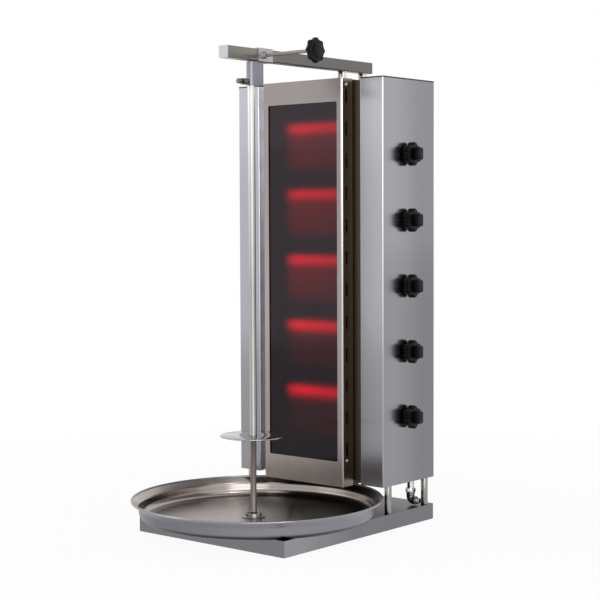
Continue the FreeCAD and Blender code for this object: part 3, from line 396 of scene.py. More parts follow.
@dataclass(frozen=True)
class BaseSheet(BrushedSteel):
    """The base tray's sheet: ground faces, a painted shade on its top, and a painted highlight at the right
    side's front corner.
    """

    # Painted shade on the top.
    painted_shade_top: str = "37363a"
    # Painted shade everywhere but the right side's front corner, which so looks lit.
    dimmed_off_corner: str = "d4d4d4"
    lit_corner_y: Pair = (0.05, -0.20)

    def tinted(self, tree: Tree, colour: Socket) -> Socket:
        """Painted shade on top, and on the right side a painted highlight, brightest at the front corner."""
        plain = add(tree, "Mix", {0: 1.0, 6: colour, 7: self.dimmed_off_corner}, 2, **STAIN)
        right, top = (add(tree, "MapRange", (facing(tree, axis), *SQUARE_ON), **SMOOTH)
                      for axis in (Axis.X, Axis.Z))
        ahead = add(tree, "MapRange", (where(tree, Axis.Y), *self.lit_corner_y), **SMOOTH)
        corner = add(tree, "Math", (right, ahead), **TIMES)
        return coated(tree, plain, (corner, colour), (top, self.painted_shade_top))


@dataclass(frozen=True)
class LidSheet(BrushedSteel):
    """The boxes' lids: ground on top, with an upright edge coloured dark that shows as a thin dark line."""

    edge: str = "3c3c40"
    flat: Pair = (0.5, 0.8)

    def tinted(self, tree: Tree, colour: Socket) -> Socket:
        """Dark on the upright edge."""
        level = add(tree, "Math", (facing(tree, Axis.Z),), operation="ABSOLUTE")
        return coated(tree, self.edge, (add(tree, "MapRange", (level, *self.flat), **SMOOTH), colour))


@dataclass(frozen=True)
class BarSheet(BrushedSteel):
    """The square tube of the top bar: paler in front of the sleeve, duller behind it."""

    front_tone: str = "7e7a75"
    sleeve_y: Pair = (-0.075, 0.015)

    def tinted(self, tree: Tree, colour: Socket) -> Socket:
        """Pale ahead of the sleeve."""
        behind = add(tree, "MapRange", (where(tree, Axis.Y), *self.sleeve_y), **SMOOTH)
        return coated(tree, self.front_tone, (behind, colour))


@dataclass(frozen=True)
class TurnedSteel(Finish):
    """Stainless turned about an upright line.

    The eye sees faint rings about the centre and a reflection that is sharp round them.
    """

    light: str = "a4a2a1"
    dark: str = "8e8c8b"
    roughness: float = 0.2
    variation: float = 0.04
    bump: float = 0.04
    relief: float = 0.1 * MM
    centre_y: float = -0.074
    ring: float = 1.6 * MM
    mottle: float = 14.0

    def from_centre(self, tree: Tree) -> tuple[Socket, Socket, Socket]:
        """The place from the foot of the turning line, the distance from that line, and the height."""
        place = object_place(tree, shift=(0, -self.centre_y, 0))
        x, y, z = add(tree, "SeparateXYZ", (place,), None).outputs
        flat = add(tree, "CombineXYZ", (x, y))
        return place, add(tree, "VectorMath", (flat,), "Value", operation="LENGTH"), z

    def patterns(self, tree: Tree) -> tuple[Socket, Socket, Socket]:
        """Fine rings, and the share that a broad mottling gives."""
        place, radius, height = self.from_centre(tree)
        rings = add(tree, "CombineXYZ", (radius, 0.0, height))
        fine, broad = (
            add(tree, "TexNoise", {"Vector": vector, "Scale": scale, "Detail": detail, "Roughness": rough})
            for vector, scale, detail, rough in ((rings, 1.0 / self.ring, 2.0, 0.6),
                                                 (place, self.mottle, 3.0, 0.55)))
        return fine, add(tree, "MapRange", (broad, *NOISE)), fine


@dataclass(frozen=True)
class SpunPanSteel(TurnedSteel):
    """The spun pan: cool outside, lighter on its right side as painted light and with a painted contact
    shadow low down, warm and browned inside, with a bright rolled rim.

    Heat and fat tint the inside; the eye sees broad soft bands that follow the wall.
    """

    centre_y: float = -0.062
    # The outside's two tones; the lighter one, where the wall faces the right, is painted light.
    outside: tuple[str, str] = ("717177", "86868c")
    lit_side: Pair = (-0.3, 0.8)
    # Painted contact shadow on the outside below this height.
    painted_contact_shadow: str = "1c1c20"
    contact_shadow_z: Pair = (48 * MM, 40 * MM)
    wall: str = "a8a09a"
    wall_radius: Pair = (0.241, 0.253)
    inside_turn: Pair = (-0.02, 0.06)
    scoured: float = 0.14
    rim: str = "8e8d90"
    rim_radius: Pair = (0.2705, 0.2725)

    def tinted(self, tree: Tree, colour: Socket) -> Socket:
        """Cool outside, lighter where it faces the right as painted light, with a painted contact shadow low
        down; browned on its inside, pale at the rim.
        """
        radius = self.from_centre(tree)[1]
        lit, below, walled, inside, rim = (
            add(tree, "MapRange", (value, *ends), **SMOOTH)
            for value, ends in (
                (facing(tree, Axis.X), self.lit_side), (where(tree, Axis.Z), self.contact_shadow_z),
                (radius, self.wall_radius), (facing(tree, Axis.Z), self.inside_turn),
                (radius, self.rim_radius)))
        outer = coated(tree, self.outside[0], (lit, self.outside[1]), (below, self.painted_contact_shadow))
        return coated(tree, outer, (inside, coated(tree, colour, (walled, self.wall))), (rim, self.rim))

    def dulled(self, tree: Tree, rough: Socket) -> Socket:
        """Rougher outside and at the rim, where the pan is scoured."""
        start, end = self.inside_turn
        more = add(tree, "MapRange", (facing(tree, Axis.Z), end, start, 0.0, self.scoured), **SMOOTH)
        return add(tree, "Math", (rough, more), operation="ADD")


@dataclass(frozen=True)
class SpitSteel(TurnedSteel):
    """The spit's ground bar, with painted light and shade: bright at the top, duller down to the disc, and
    darker below it.
    """

    light: str = "ffffff"
    dark: str = "f4f4f4"
    roughness: float = 0.38
    # Painted light by height: brighter towards the top, and painted shade below the disc.
    painted_light_by_height: Stops = ((0.208, "857d7a"), (0.216, "989897"), (0.54, "9c9c9b"), (0.76, "babab9"),
                      (0.96, "e0e0df"))

    def tinted(self, tree: Tree, colour: Socket) -> Socket:
        """Toned by height with painted light and shade."""
        return add(tree, "Mix", {0: 1.0, 6: colour, 7: up_the_height(tree, self.painted_light_by_height)}, 2, **STAIN)


@dataclass(frozen=True)
class SmokedGlass:
    """Dark ceramic glass: a smooth skin over a pane that lets little but red heat through.

    The pane's fine grain blurs what glows behind it.
    """

    name: str = "smoked_ceramic_glass"
    tint: str = "e8a29e"
    body: str = "121222"
    clear: float = 0.6
    haze: float = 0.45
    roughness: float = 0.05
    cloud: float = 9.0

    def shader(self, tree: Tree) -> Socket:
        """The smooth skin, and the pane below it."""
        cloud = add(tree, "TexNoise", {"Vector": object_place(tree), "Scale": self.cloud, "Detail": 2.0,
                                       "Roughness": 0.5})
        rough = add(tree, "MapRange", (cloud, *NOISE, self.roughness, 2 * self.roughness))
        skin = add(tree, "BsdfPrincipled", {"Roughness": rough, "Base Color": self.body, "Metallic": 0.0,
                                            "IOR": 1.5})
        through = add(tree, "BsdfRefraction", {"Color": self.tint, "Roughness": self.haze, "IOR": 1.45})
        return add(tree, "MixShader", (self.clear, skin, through))


@dataclass(frozen=True)
class GlowingPlaque:
    """Perforated burner ceramic, red hot along its top and dull red below.

    The holes of the real plaque are about 1.2 mm wide and 2 mm apart; they are drawn 3 mm apart.
    """

    name: str = "glowing_plaque"
    first: float = 0.250
    pitch: float = 0.150
    half_height: float = 52.8 * MM
    half_width: float = 84 * MM
    heat: str = "ff1a52"
    power: float = 3.5
    band: Stops = ((0.65, 0.0), (0.77, 0.10), (0.86, 0.62), (0.93, 1.0), (1.0, 0.75))
    below: Stops = ((0.0, 0.02), (0.16, 0.06), (0.5, 0.09), (0.8, 0.11))
    across: Stops = ((0.0, 0.2), (0.07, 0.9), (0.20, 1.0), (0.50, 0.82), (0.80, 0.68), (1.0, 0.6))
    # From and to which height, and from and to which share, the glow below the bands and all of it change.
    below_by_height: tuple[float, ...] = (0.33, 0.58, 0.12, 1.0)
    all_by_height: tuple[float, ...] = (0.25, 0.85, 1.15, 0.9)
    front_only: Pair = (-0.5, -0.9)
    flicker: Pair = (0.88, 1.12)
    hole_pitch: float = 3 * MM
    hole_depth: float = 0.8 * MM
    hole_edge: Pair = (0.1, 0.6)
    ceramic: tuple[str, str] = ("3c322c", "8d7767")

    def shader(self, tree: Tree) -> Socket:
        """The ceramic with its holes, and the glow by height, along the plaque and on its front alone."""
        place, height = object_place(tree), where(tree, Axis.Z)
        half_pitch = self.pitch / 2
        over = add(tree, "Math", (height, half_pitch - self.first), operation="ADD")
        local = add(tree, "Math", (over, self.pitch), operation="FLOORED_MODULO")
        up = add(tree, "MapRange", (local, half_pitch - self.half_height, half_pitch + self.half_height))
        along = add(tree, "MapRange", (where(tree, Axis.X), -self.half_width, self.half_width))
        more = add(tree, "MapRange", (height, *self.below_by_height), **SMOOTH)
        low = add(tree, "Math", (self.profile(tree, up, self.below), more), **TIMES)
        heat = add(tree, "Math", (self.profile(tree, up, self.band), low), operation="MAXIMUM")
        noise = add(tree, "TexNoise", {"Vector": place, "Scale": 30.0, "Detail": 2.0})
        for share in (self.profile(tree, along, self.across),
                      add(tree, "MapRange", (facing(tree, Axis.Y), *self.front_only), **SMOOTH),
                      add(tree, "MapRange", (height, *self.all_by_height), **SMOOTH),
                      add(tree, "MapRange", (noise, *NOISE, *self.flicker)), self.power):
            heat = add(tree, "Math", (heat, share), **TIMES)
        holes = add(tree, "TexVoronoi", {"Vector": place, "Scale": 1.0 / self.hole_pitch, "Randomness": 0.0})
        between = add(tree, "MapRange", (holes, *self.hole_edge))
        return add(tree, "BsdfPrincipled", {
            "Base Color": coated(tree, self.ceramic[0], (between, self.ceramic[1])),
            "Normal": add(tree, "Bump", {"Height": holes, "Strength": 0.5, "Distance": self.hole_depth}),
            "Roughness": 0.85, "Emission Color": self.heat, "Emission Strength": heat})

    @staticmethod
    def profile(tree: Tree, along: Socket, stops: Stops) -> Socket:
        """How strong the glow is along a line, rounded from stop to stop."""
        node = add(tree, "ValToRGB", (along,), None, stops)
        node.color_ramp.interpolation = "B_SPLINE"
        return node.outputs[0]


# --- Mesh pieces -------------------------------------------------------------

# Points nearer to each other than these are one, in a piece and along a turned shape's seam.
WELD = 1e-7
SEAM = 1e-6
# Lays a shape made along +Z along +X, its own X going to Y.
SIDEWAYS = Matrix(((0, 0, 1, 0), (1, 0, 0, 0), (0, 1, 0, 0), (0, 0, 0, 1)))


def make_piece(name: str, mesh: Mesh, material: Material, body: str, nodes: Sequence[str],
               place: Matrix | None = None, sharp: float = 32.0) -> None:
    """Turn a bmesh into an object that rides on a body.

    Args:
        name: The piece's name.
        mesh: The finished bmesh. It is freed.
        material: The finish.
        body: The body that it moves with.
        nodes: The CAD nodes that it stands for.
        place: What takes the bmesh to its place, if it isn't there yet.
        sharp: Edges that turn by more than this angle stay sharp, in degrees.
    """
    if place is not None:
        bmesh.ops.transform(mesh, matrix=place, verts=mesh.verts)
    bmesh.ops.remove_doubles(mesh, verts=mesh.verts, dist=WELD)
    bmesh.ops.recalc_face_normals(mesh, faces=mesh.faces)
    for face in mesh.faces:
        face.smooth = True
    for edge in mesh.edges:
        edge.smooth = not edge.is_manifold or edge.calc_face_angle(0.0) < math.radians(sharp)
    data = bpy.data.meshes.new(name)
    mesh.to_mesh(data)
    mesh.free()
    data.materials.append(material)
    piece = bpy.data.objects.new(name, data)
    bpy.context.scene.collection.objects.link(piece)
    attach(piece, body)
    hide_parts(*nodes)
    LOG.info("%s: %d faces on %s", name, len(data.polygons), body)


def turning(start: Sequence[float], axis: Axis = Axis.Z, back: bool = False) -> Matrix:
    """The matrix that takes a shape made along +Z to a point, along another axis.

    Args:
        start: Where the shape's own origin goes.
        axis: Where its +Z goes.
        back: Whether it goes against the axis.

    Returns:
        The matrix.
    """
    way = -axis.vector if back else axis.vector
    return Matrix.Translation(Vector(start)) @ way.to_track_quat("Z", "Y").to_matrix().to_4x4()


def merge_into(mesh: Mesh, work: Mesh, place: Matrix | None = None) -> None:
    """Add one bmesh's geometry to another, moved by a matrix, and free the first."""
    if place is not None:
        bmesh.ops.transform(work, matrix=place, verts=work.verts)
    data = bpy.data.meshes.new("work")
    work.to_mesh(data)
    work.free()
    mesh.from_mesh(data)
    bpy.data.meshes.remove(data)


def sharp_edges(mesh: Mesh, angle: float = 40.0) -> list[Edge]:
    """The edges that turn by more than an angle, in degrees."""
    return [e for e in mesh.edges if e.is_manifold and e.calc_face_angle(0.0) > math.radians(angle)]


def edges_between(mesh: Mesh, verts: Sequence[Any]) -> list[Edge]:
    """The edges whose two ends are both among some vertices."""
    return [e for e in mesh.edges if e.verts[0] in verts and e.verts[1] in verts]


def bevel(mesh: Mesh, edges: Sequence[Edge], width: float, segments: int, clamp: bool = False) -> None:
    """Round some edges.

    Args:
        mesh: The bmesh.
        edges: The edges.
        width: The bevel's width in metres.
        segments: How many faces cross the bevel.
        clamp: Whether bevels that would meet are kept apart.
    """
    bmesh.ops.bevel(mesh, geom=edges, offset=width, offset_type="OFFSET", segments=segments,
                    profile=0.5, affect="EDGES", material=-1, clamp_overlap=clamp)


def spin(mesh: Mesh, steps: int) -> None:
    """Spin all of a bmesh a full turn about the Z axis."""
    bmesh.ops.spin(mesh, geom=mesh.verts[:] + mesh.edges[:], cent=(0, 0, 0), axis=(0, 0, 1),
                   dvec=(0, 0, 0), angle=math.tau, steps=steps, use_merge=True)


def lathe(outline: Corners, steps: int = 64, closed: bool = False, edge: float = 0.0,
          angle: float = 40.0) -> Mesh:
    """Spin an outline of (radius, height) corners about the Z axis.

    Args:
        outline: The corners, from axis to axis, or round a ring.
        steps: How many steps make the full turn.
        closed: Whether the outline is a loop that doesn't meet the axis.
        edge: The rounding of its sharp edges, in metres.
        angle: The least turn that is rounded, in degrees.

    Returns:
        The new bmesh.
    """
    work = bmesh.new()
    verts = [work.verts.new((radius, 0.0, height)) for radius, height in outline]
    for one, other in zip(verts, verts[1:] + verts[:1] if closed else verts[1:]):
        work.edges.new((one, other))
    spin(work, steps)
    bmesh.ops.remove_doubles(work, verts=work.verts, dist=SEAM)
    bmesh.ops.recalc_face_normals(work, faces=work.faces)
    if edge:
        bevel(work, sharp_edges(work, angle), edge, 2, True)
    return work


def rod(radius: float, length: float, edge: float = 0.4 * MM, bore: float = 0.0, steps: int = 48) -> Mesh:
    """A round bar or tube that stands on Z 0, with its end edges rounded.

    Args:
        radius: Its outer radius.
        length: Its length along Z.
        edge: The rounding of its ends.
        bore: The radius of its hole, or nothing for a solid bar.
        steps: How many steps make the full turn.

    Returns:
        The new bmesh.
    """
    return lathe(((bore, 0.0), (radius, 0.0), (radius, length), (bore, length)), steps, bore > 0.0, edge)


def hex_nut(flats: float, height: float, bore: float) -> Mesh:
    """A hexagonal nut on Z 0, with its corners turned off at both faces.

    Args:
        flats: The distance across its flats.
        height: Its height.
        bore: The radius of its hole.

    Returns:
        The new bmesh.
    """
    mesh = bmesh.new()
    chamfer, face = 0.08 * flats, 0.48 * flats
    sixth = math.pi / 3
    loops = []
    # A radius of nothing stands for the hexagon's own edge.
    for radius, level in ((bore, 0.0), (face, 0.0), (0.0, chamfer), (0.0, height - chamfer), (face, height),
                          (bore, height)):
        ring = bmesh.ops.create_circle(mesh, cap_ends=False, segments=48, radius=1.0)["verts"]
        for vert in ring:
            turn = math.atan2(vert.co.y, vert.co.x)
            off = (turn + sixth / 2) % sixth - sixth / 2
            reach = radius or flats / 2 / math.cos(off)
            vert.co = Vector((reach * math.cos(turn), reach * math.sin(turn), level))
        loops.append(edges_between(mesh, ring))
    for low, high in zip(loops, loops[1:] + loops[:1]):
        bmesh.ops.bridge_loops(mesh, edges=low + high)
    return mesh


def lobed_disc(radius: float, lobe_radius: float, valley: float, lobes: int, thickness: float,
               first_turn: float, per_lobe: int = 16) -> Mesh:
    """A round disc whose edge swells into lobes, standing on Z 0 about the Z axis.

    Args:
        radius: The reach of the lobes.
        lobe_radius: The radius of each lobe.
        valley: How far the edge sinks between lobes.
        lobes: How many lobes there are.
        thickness: The disc's height.
        first_turn: Where the first lobe is, in degrees from +X.
        per_lobe: Points on the edge for each lobe.

    Returns:
        The new bmesh.
    """
    mesh = bmesh.new()
    bmesh.ops.create_cone(mesh, cap_ends=True, cap_tris=False, segments=lobes * per_lobe, radius1=radius,
                          radius2=radius, depth=thickness)
    reach = radius - lobe_radius
    for vert in mesh.verts:
        turn = math.atan2(vert.co.y, vert.co.x)
        off = (turn - math.radians(first_turn) + math.pi / lobes) % (math.tau / lobes) - math.pi / lobes
        under = lobe_radius ** 2 - (reach * math.sin(off)) ** 2
        edge = reach * math.cos(off) + math.sqrt(under) if under > 0 else 0.0
        distance = max(edge, radius - valley)
        vert.co = Vector((distance * math.cos(turn), distance * math.sin(turn), vert.co.z + thickness / 2))
    return mesh


@dataclass
class DripPan:
    """The spun round pan: flat floor, round corner, steep wall, flared lip and a rolled rim."""

    centre: Triple = (0.0, -0.062, 0.035)
    rim_radius: float = 0.277
    height: float = 44 * MM
    floor_radius: float = 0.241
    corner: float = 17 * MM
    corner_steps: int = 10
    wall_angle: float = 84.0
    wall_height: float = 27 * MM
    sheet: float = 1.2 * MM
    bend: float = 2.5 * MM
    bend_angle: float = 25.0
    bead: float = 2.5 * MM
    bead_sides: int = 16
    steps: int = 192

    def build(self, steel: Material) -> None:
        """Make the dish and its rolled rim."""
        wall = math.radians(self.wall_angle)
        radius = self.corner + self.sheet
        turns = [wall * k / self.corner_steps for k in range(self.corner_steps + 1)]
        points = [(self.floor_radius + radius * math.sin(turn), radius - radius * math.cos(turn))
                  for turn in turns]
        out, up = points[-1]
        rim_x, rim_z = self.rim_radius - self.bead, self.height - self.bead
        lip = (out + (self.wall_height - up) / math.tan(wall), self.wall_height)
        dish = lathe([(0.0, 0.0), *points, lip, (rim_x, rim_z)], self.steps)
        bevel(dish, sharp_edges(dish, self.bend_angle), self.bend, 4)
        middle = min(dish.faces, key=lambda face: face.calc_center_median().length)
        if middle.normal.z > 0:
            bmesh.ops.reverse_faces(dish, faces=dish.faces)
        bmesh.ops.solidify(dish, geom=dish.faces, thickness=self.sheet)
        bead = bmesh.new()
        circle = bmesh.ops.create_circle(bead, cap_ends=False, radius=self.bead,
                                         segments=self.bead_sides)["verts"]
        bmesh.ops.rotate(bead, verts=circle, cent=(0, 0, 0), matrix=Matrix.Rotation(math.pi / 2, 3, "X"))
        bmesh.ops.translate(bead, verts=circle, vec=(rim_x, 0, rim_z))
        spin(bead, self.steps)
        merge_into(dish, bead)
        make_piece("spun_drip_pan", dish, steel, "pan_carriage", ["drip_pan"],
                   Matrix.Translation(self.centre))


@dataclass
class SpitAndDisc:
    """The turned spit with its two collars, the round disc on it, and the socket that it stands in.

    A collar, a groove and the disc are a radius with a lower and an upper height.
    """

    y: float = -0.074
    pan_floor: float = 36.2 * MM
    pan_sheet: float = 1.2 * MM
    top: float = 1.012
    radius: float = 8 * MM
    low_radius: float = 6.75 * MM
    journal: float = 6 * MM
    journal_foot: float = 2.3 * MM
    journal_length: float = 4 * MM
    groove: Triple = (5 * MM, 979.5 * MM, 986.5 * MM)
    foot_collar: Triple = (8 * MM, 45.9 * MM, 48.9 * MM)
    disc_collar: Triple = (10.5 * MM, 207.8 * MM, 213.8 * MM)
    disc: Triple = (72.5 * MM, 214.0 * MM, 216.5 * MM)
    disc_gap: float = 0.25 * MM
    cup: Pair = (18 * MM, 9.5 * MM)
    cup_wall: float = 4 * MM
    cup_depth: float = 3.5 * MM
    flange: Pair = (25 * MM, 2 * MM)
    peg: Pair = (6 * MM, 8 * MM)
    bush: float = 11 * MM

    def build(self, finishes: dict[str, Material]) -> None:
        """Make the spit, the disc and the socket."""
        for name, mesh, finish, body, node in (
                ("turned_spit", self.make_spit(), "ground_spit_bar", "spit", "spit_rod"),
                ("polished_disc", self.make_disc(), "polished_disc_steel", "disc", "meat_disc"),
                ("turned_socket", self.make_socket(), "turned_socket_steel", "pan_carriage", "foot_socket")):
            make_piece(name, mesh, finishes[finish], body, [node],
                       Matrix.Translation((0, self.y, 0)))

    def make_spit(self) -> Mesh:
        """The bar, from its journal in the socket to its top."""
        foot = self.pan_floor + self.journal_foot
        shoulder = foot + self.journal_length
        bar = self.low_radius
        outline = [(0.0, foot), (self.journal, foot), (self.journal, shoulder), (bar, shoulder)]
        for (radius, low, high), above in (
                (self.foot_collar, self.low_radius), (self.disc_collar, self.radius),
                (self.groove, self.radius)):
            outline += [(bar, low), (radius, low), (radius, high), (above, high)]
            bar = above
        return lathe([*outline, (bar, self.top), (0.0, self.top)], edge=0.6 * MM)

    def make_disc(self) -> Mesh:
        """The disc, with a hole for the bar."""
        radius, low, high = self.disc
        hole = self.radius + self.disc_gap
        ring = ((hole, low), (radius, low), (radius, high), (hole, high))
        return lathe(ring, steps=128, closed=True, edge=0.7 * MM)

    def make_socket(self) -> Mesh:
        """The socket: a peg through the pan, a flange, and a cup with the bush's seat in it."""
        floor, rim = self.pan_floor, self.pan_floor + self.cup[1]
        foot, ledge = floor - self.pan_sheet - self.peg[1], floor + self.flange[1]
        inside, seat = self.cup[0] - self.cup_wall, rim - self.cup_depth
        outline = ((0.0, foot), (self.peg[0], foot), (self.peg[0], floor), (self.flange[0], floor),
                   (self.flange[0], ledge), (self.cup[0], ledge), (self.cup[0], rim), (inside, rim),
                   (inside, seat), (self.bush, seat), (self.bush, ledge), (0.0, ledge))
        return lathe(outline, steps=96, edge=0.5 * MM)


@dataclass
class ControlKnobs:
    """Five moulded knobs: a deep lobed skirt and a square grip, each on its spindle."""

    first: float = 0.246
    pitch: float = 0.146
    y: float = 0.206
    back: float = 0.217
    radius: float = 26 * MM
    lobes: int = 6
    lobe_radius: float = 9 * MM
    first_lobe: float = 30.0
    valley: float = 4 * MM
    skirt: float = 17 * MM
    grip: Triple = (20 * MM, 28 * MM, 15 * MM)
    taper: Triple = (0.94, 0.97, 1.0)
    corner: float = 5 * MM
    skirt_edge: float = 2.4 * MM
    grip_edge: float = 1.2 * MM
    count: int = 5

    def build(self, phenolic: Material) -> None:
        """Make the knobs."""
        for number in range(self.count):
            mesh = lobed_disc(self.radius, self.lobe_radius, self.valley, self.lobes, self.skirt,
                              self.first_lobe)
            bevel(mesh, sharp_edges(mesh), self.skirt_edge, 4, True)
            merge_into(mesh, self.make_grip())
            centre = Vector((self.back, self.y, self.first + self.pitch * number))
            make_piece(f"moulded_knob_{number + 1}", mesh, phenolic, f"knob_{number + 1}",
                       [f"control_knob_{number + 1}"], Matrix.Translation(centre) @ SIDEWAYS)

    def make_grip(self) -> Mesh:
        """The square grip, a little narrower at its top."""
        half = self.grip[2] / 2
        grip = bmesh.new()
        bmesh.ops.create_cube(grip, size=1.0)
        bmesh.ops.scale(grip, vec=self.grip, verts=grip.verts)
        bmesh.ops.translate(grip, vec=(0, 0, self.skirt + half), verts=grip.verts)
        top = [v for v in grip.verts if v.co.z > self.skirt + half]
        bmesh.ops.scale(grip, vec=self.taper, verts=top)
        upright = [e for e in grip.edges if abs(e.verts[0].co.z - e.verts[1].co.z) > half]
        bevel(grip, upright, self.corner, 5)
        bevel(grip, sharp_edges(grip), self.grip_edge, 3, True)
        return grip


@dataclass
class Clamp:
    """The clamp screw with its rolled thread, and the moulded star knob with its hub."""

    centre: Triple = (0.151, -0.046, 1.0416)
    radius: float = 27 * MM
    lobe_radius: float = 6.5 * MM
    valley: float = 3 * MM
    lobes: int = 8
    first_lobe: float = 90.0
    thickness: float = 14 * MM
    edge: float = 4 * MM
    hub_radius: float = 11 * MM
    hub: float = 8 * MM
    boss: Pair = (16 * MM, 1.6 * MM)
    sunk: float = 1 * MM
    tip_x: float = 13.05 * MM
    into_hub: float = 4 * MM
    screw_radius: float = 4 * MM
    thread: float = 2.5 * MM
    thread_depth: float = 0.5 * MM
    crest: Pair = (0.4, 0.6)

    def build(self, finishes: dict[str, Material]) -> None:
        """Make the star, its hub and the screw."""
        rise = self.thickness - self.boss[1]
        mesh = lobed_disc(self.radius, self.lobe_radius, self.valley, self.lobes, rise, self.first_lobe)
        bevel(mesh, sharp_edges(mesh), self.edge, 5, True)
        merge_into(mesh, rod(self.hub_radius, self.hub, edge=1.2 * MM), Matrix.Translation((0, 0, -self.hub)))
        merge_into(mesh, rod(self.boss[0], self.boss[1] + self.sunk, edge=1.0 * MM),
                   Matrix.Translation((0, 0, rise - self.sunk)))
        make_piece("moulded_star_knob", mesh, finishes["black_phenolic"], "clamp",
                   ["star_knob"], Matrix.Translation(self.centre) @ SIDEWAYS)

        x, y, z = self.centre
        count = int((x - self.hub + self.into_hub - self.tip_x) / self.thread)
        root = self.screw_radius - self.thread_depth
        outline = [(0.0, 0.0)]
        for start in (turn * self.thread for turn in range(count)):
            outline.append((root, start))
            outline += [(self.screw_radius, start + share * self.thread) for share in self.crest]
        outline += [(root, count * self.thread), (0.0, count * self.thread)]
        make_piece("threaded_clamp_screw", lathe(outline, 24), finishes["turned_post_steel"], "clamp",
                   ["clamp_screw"], turning((self.tip_x, y, z), Axis.X), sharp=20.0)


@dataclass
class Latch:
    """The sprung latch at the hanger: a turned barrel with grooves, and the pull head on its pin."""

    y: float = -0.074
    z: float = 0.983
    root: float = 10 * MM
    boss: Pair = (4.5 * MM, 4.5 * MM)
    sunk: float = 1.5 * MM
    barrel: Pair = (7 * MM, 15 * MM)
    groove: float = 0.6 * MM
    grooves: Triple = (0.3, 0.5, 0.7)
    neck: float = 3 * MM
    pin: float = 2.5 * MM
    pin_gap: float = 0.2 * MM
    tip: float = 5.3 * MM
    head: Pair = (5.5 * MM, 10 * MM)

    def build(self, finishes: dict[str, Material]) -> None:
        """Make the barrel and the plunger."""
        (boss, rise), (radius, length) = self.boss, self.barrel
        bore, end = self.pin + self.pin_gap, rise + length
        outline = [(bore, -self.sunk), (boss, -self.sunk), (boss, rise), (radius, rise)]
        for place in (rise + share * length for share in self.grooves):
            outline += [(radius, place - self.groove), (radius - self.groove, place),
                        (radius, place + self.groove)]
        outline += [(radius, end), (bore, end)]
        barrel = lathe(outline, steps=48, closed=True, edge=0.5 * MM, angle=60.0)
        tip, low = self.tip - self.root, end + self.neck
        high = low + self.head[1]
        outline = ((0.0, tip), (self.pin, tip), (self.pin, low), (self.head[0], low), (self.head[0], high),
                   (0.0, high))
        plunger = lathe(outline, steps=48, edge=0.8 * MM)
        for name, mesh, body, node in (("latch_spring_barrel", barrel, "holder", "latch_barrel"),
                                       ("latch_pull_pin", plunger, "latch", "latch_plunger")):
            make_piece(name, mesh, finishes["dull_latch_steel"], body, [node],
                       turning((0.0, self.y - self.root, self.z), Axis.Y, True))


@dataclass
class GasInlet:
    """Under the gas box: the pipe's end, its union nut, and the cast elbow with a collar."""

    centre: Pair = (0.180, 0.2615)
    axis_z: float = 46 * MM
    top: float = 63.6 * MM
    pipe_top: float = 104.2 * MM
    pipe: Pair = (8 * MM, 6.2 * MM)
    flats: float = 20 * MM
    nut_height: float = 11 * MM
    nut_gap: float = 0.05 * MM
    radius: float = 9.5 * MM
    collar: Pair = (0.8 * MM, 3 * MM)
    nose: Pair = (6.58 * MM, 10 * MM)
    nose_turns: int = 7
    thread_depth: float = 0.7 * MM
    reach: float = 26 * MM
    bore: float = 4.5 * MM

    def build(self, finishes: dict[str, Material]) -> None:
        """Make the pipe's end, the nut and the elbow."""
        place = Matrix.Translation((*self.centre, self.top))
        chrome = finishes["bright_chrome"]
        pipe = rod(self.pipe[0], self.pipe_top - self.top, bore=self.pipe[1])
        make_piece("plated_pipe_end", pipe, chrome, "frame", ["inlet_nipple"], place)
        nut = hex_nut(self.flats, self.nut_height, self.pipe[0] + self.nut_gap)
        make_piece("chamfered_union_nut", nut, chrome, "frame", ["inlet_nut"], place,
                   sharp=25.0)
        make_piece("cast_gas_elbow", self.make_elbow(place), finishes["grey_cast_elbow"], "frame",
                   ["inlet_elbow"])

    def make_elbow(self, top: Matrix) -> Mesh:
        """The bend, the socket with its collar above it, and the stub with its threaded nose beside it."""
        x, y = self.centre
        corner = self.axis_z + self.radius
        mesh = bmesh.new()
        circle = bmesh.ops.create_circle(mesh, cap_ends=False, radius=self.radius, segments=40)["verts"]
        bmesh.ops.translate(mesh, verts=circle, vec=(x, y, corner))
        bmesh.ops.spin(mesh, geom=mesh.verts[:] + mesh.edges[:], cent=(x + self.radius, y, corner),
                       axis=(0, -1, 0), dvec=(0, 0, 0), angle=math.pi / 2, steps=14, use_merge=False)
        merge_into(mesh, rod(self.radius, self.top - corner, edge=0.2 * MM, bore=self.bore),
                   Matrix.Translation((x, y, corner)))
        rim, depth = self.radius + self.collar[0], self.collar[1]
        ring = ((self.bore, -depth), (rim, -depth), (rim, 0.0), (self.bore, 0.0))
        merge_into(mesh, lathe(ring, steps=48, closed=True, edge=0.8 * MM), top)
        shoulder = x + self.radius
        stub = self.reach - self.nose[1] - self.radius
        merge_into(mesh, rod(self.radius, stub, edge=0.8 * MM, bore=self.bore),
                   turning((shoulder, y, self.axis_z), Axis.X))
        crest, length = self.nose
        root, pitch = crest - self.thread_depth, length / self.nose_turns
        outline = [(self.bore, 0.0)]
        for turn in range(self.nose_turns):
            outline += [(root, turn * pitch), (crest, (turn + 0.5) * pitch)]
        outline += [(root, length), (self.bore, length)]
        merge_into(mesh, lathe(outline, steps=40, closed=True),
                   turning((shoulder + stub, y, self.axis_z), Axis.X))
        return mesh


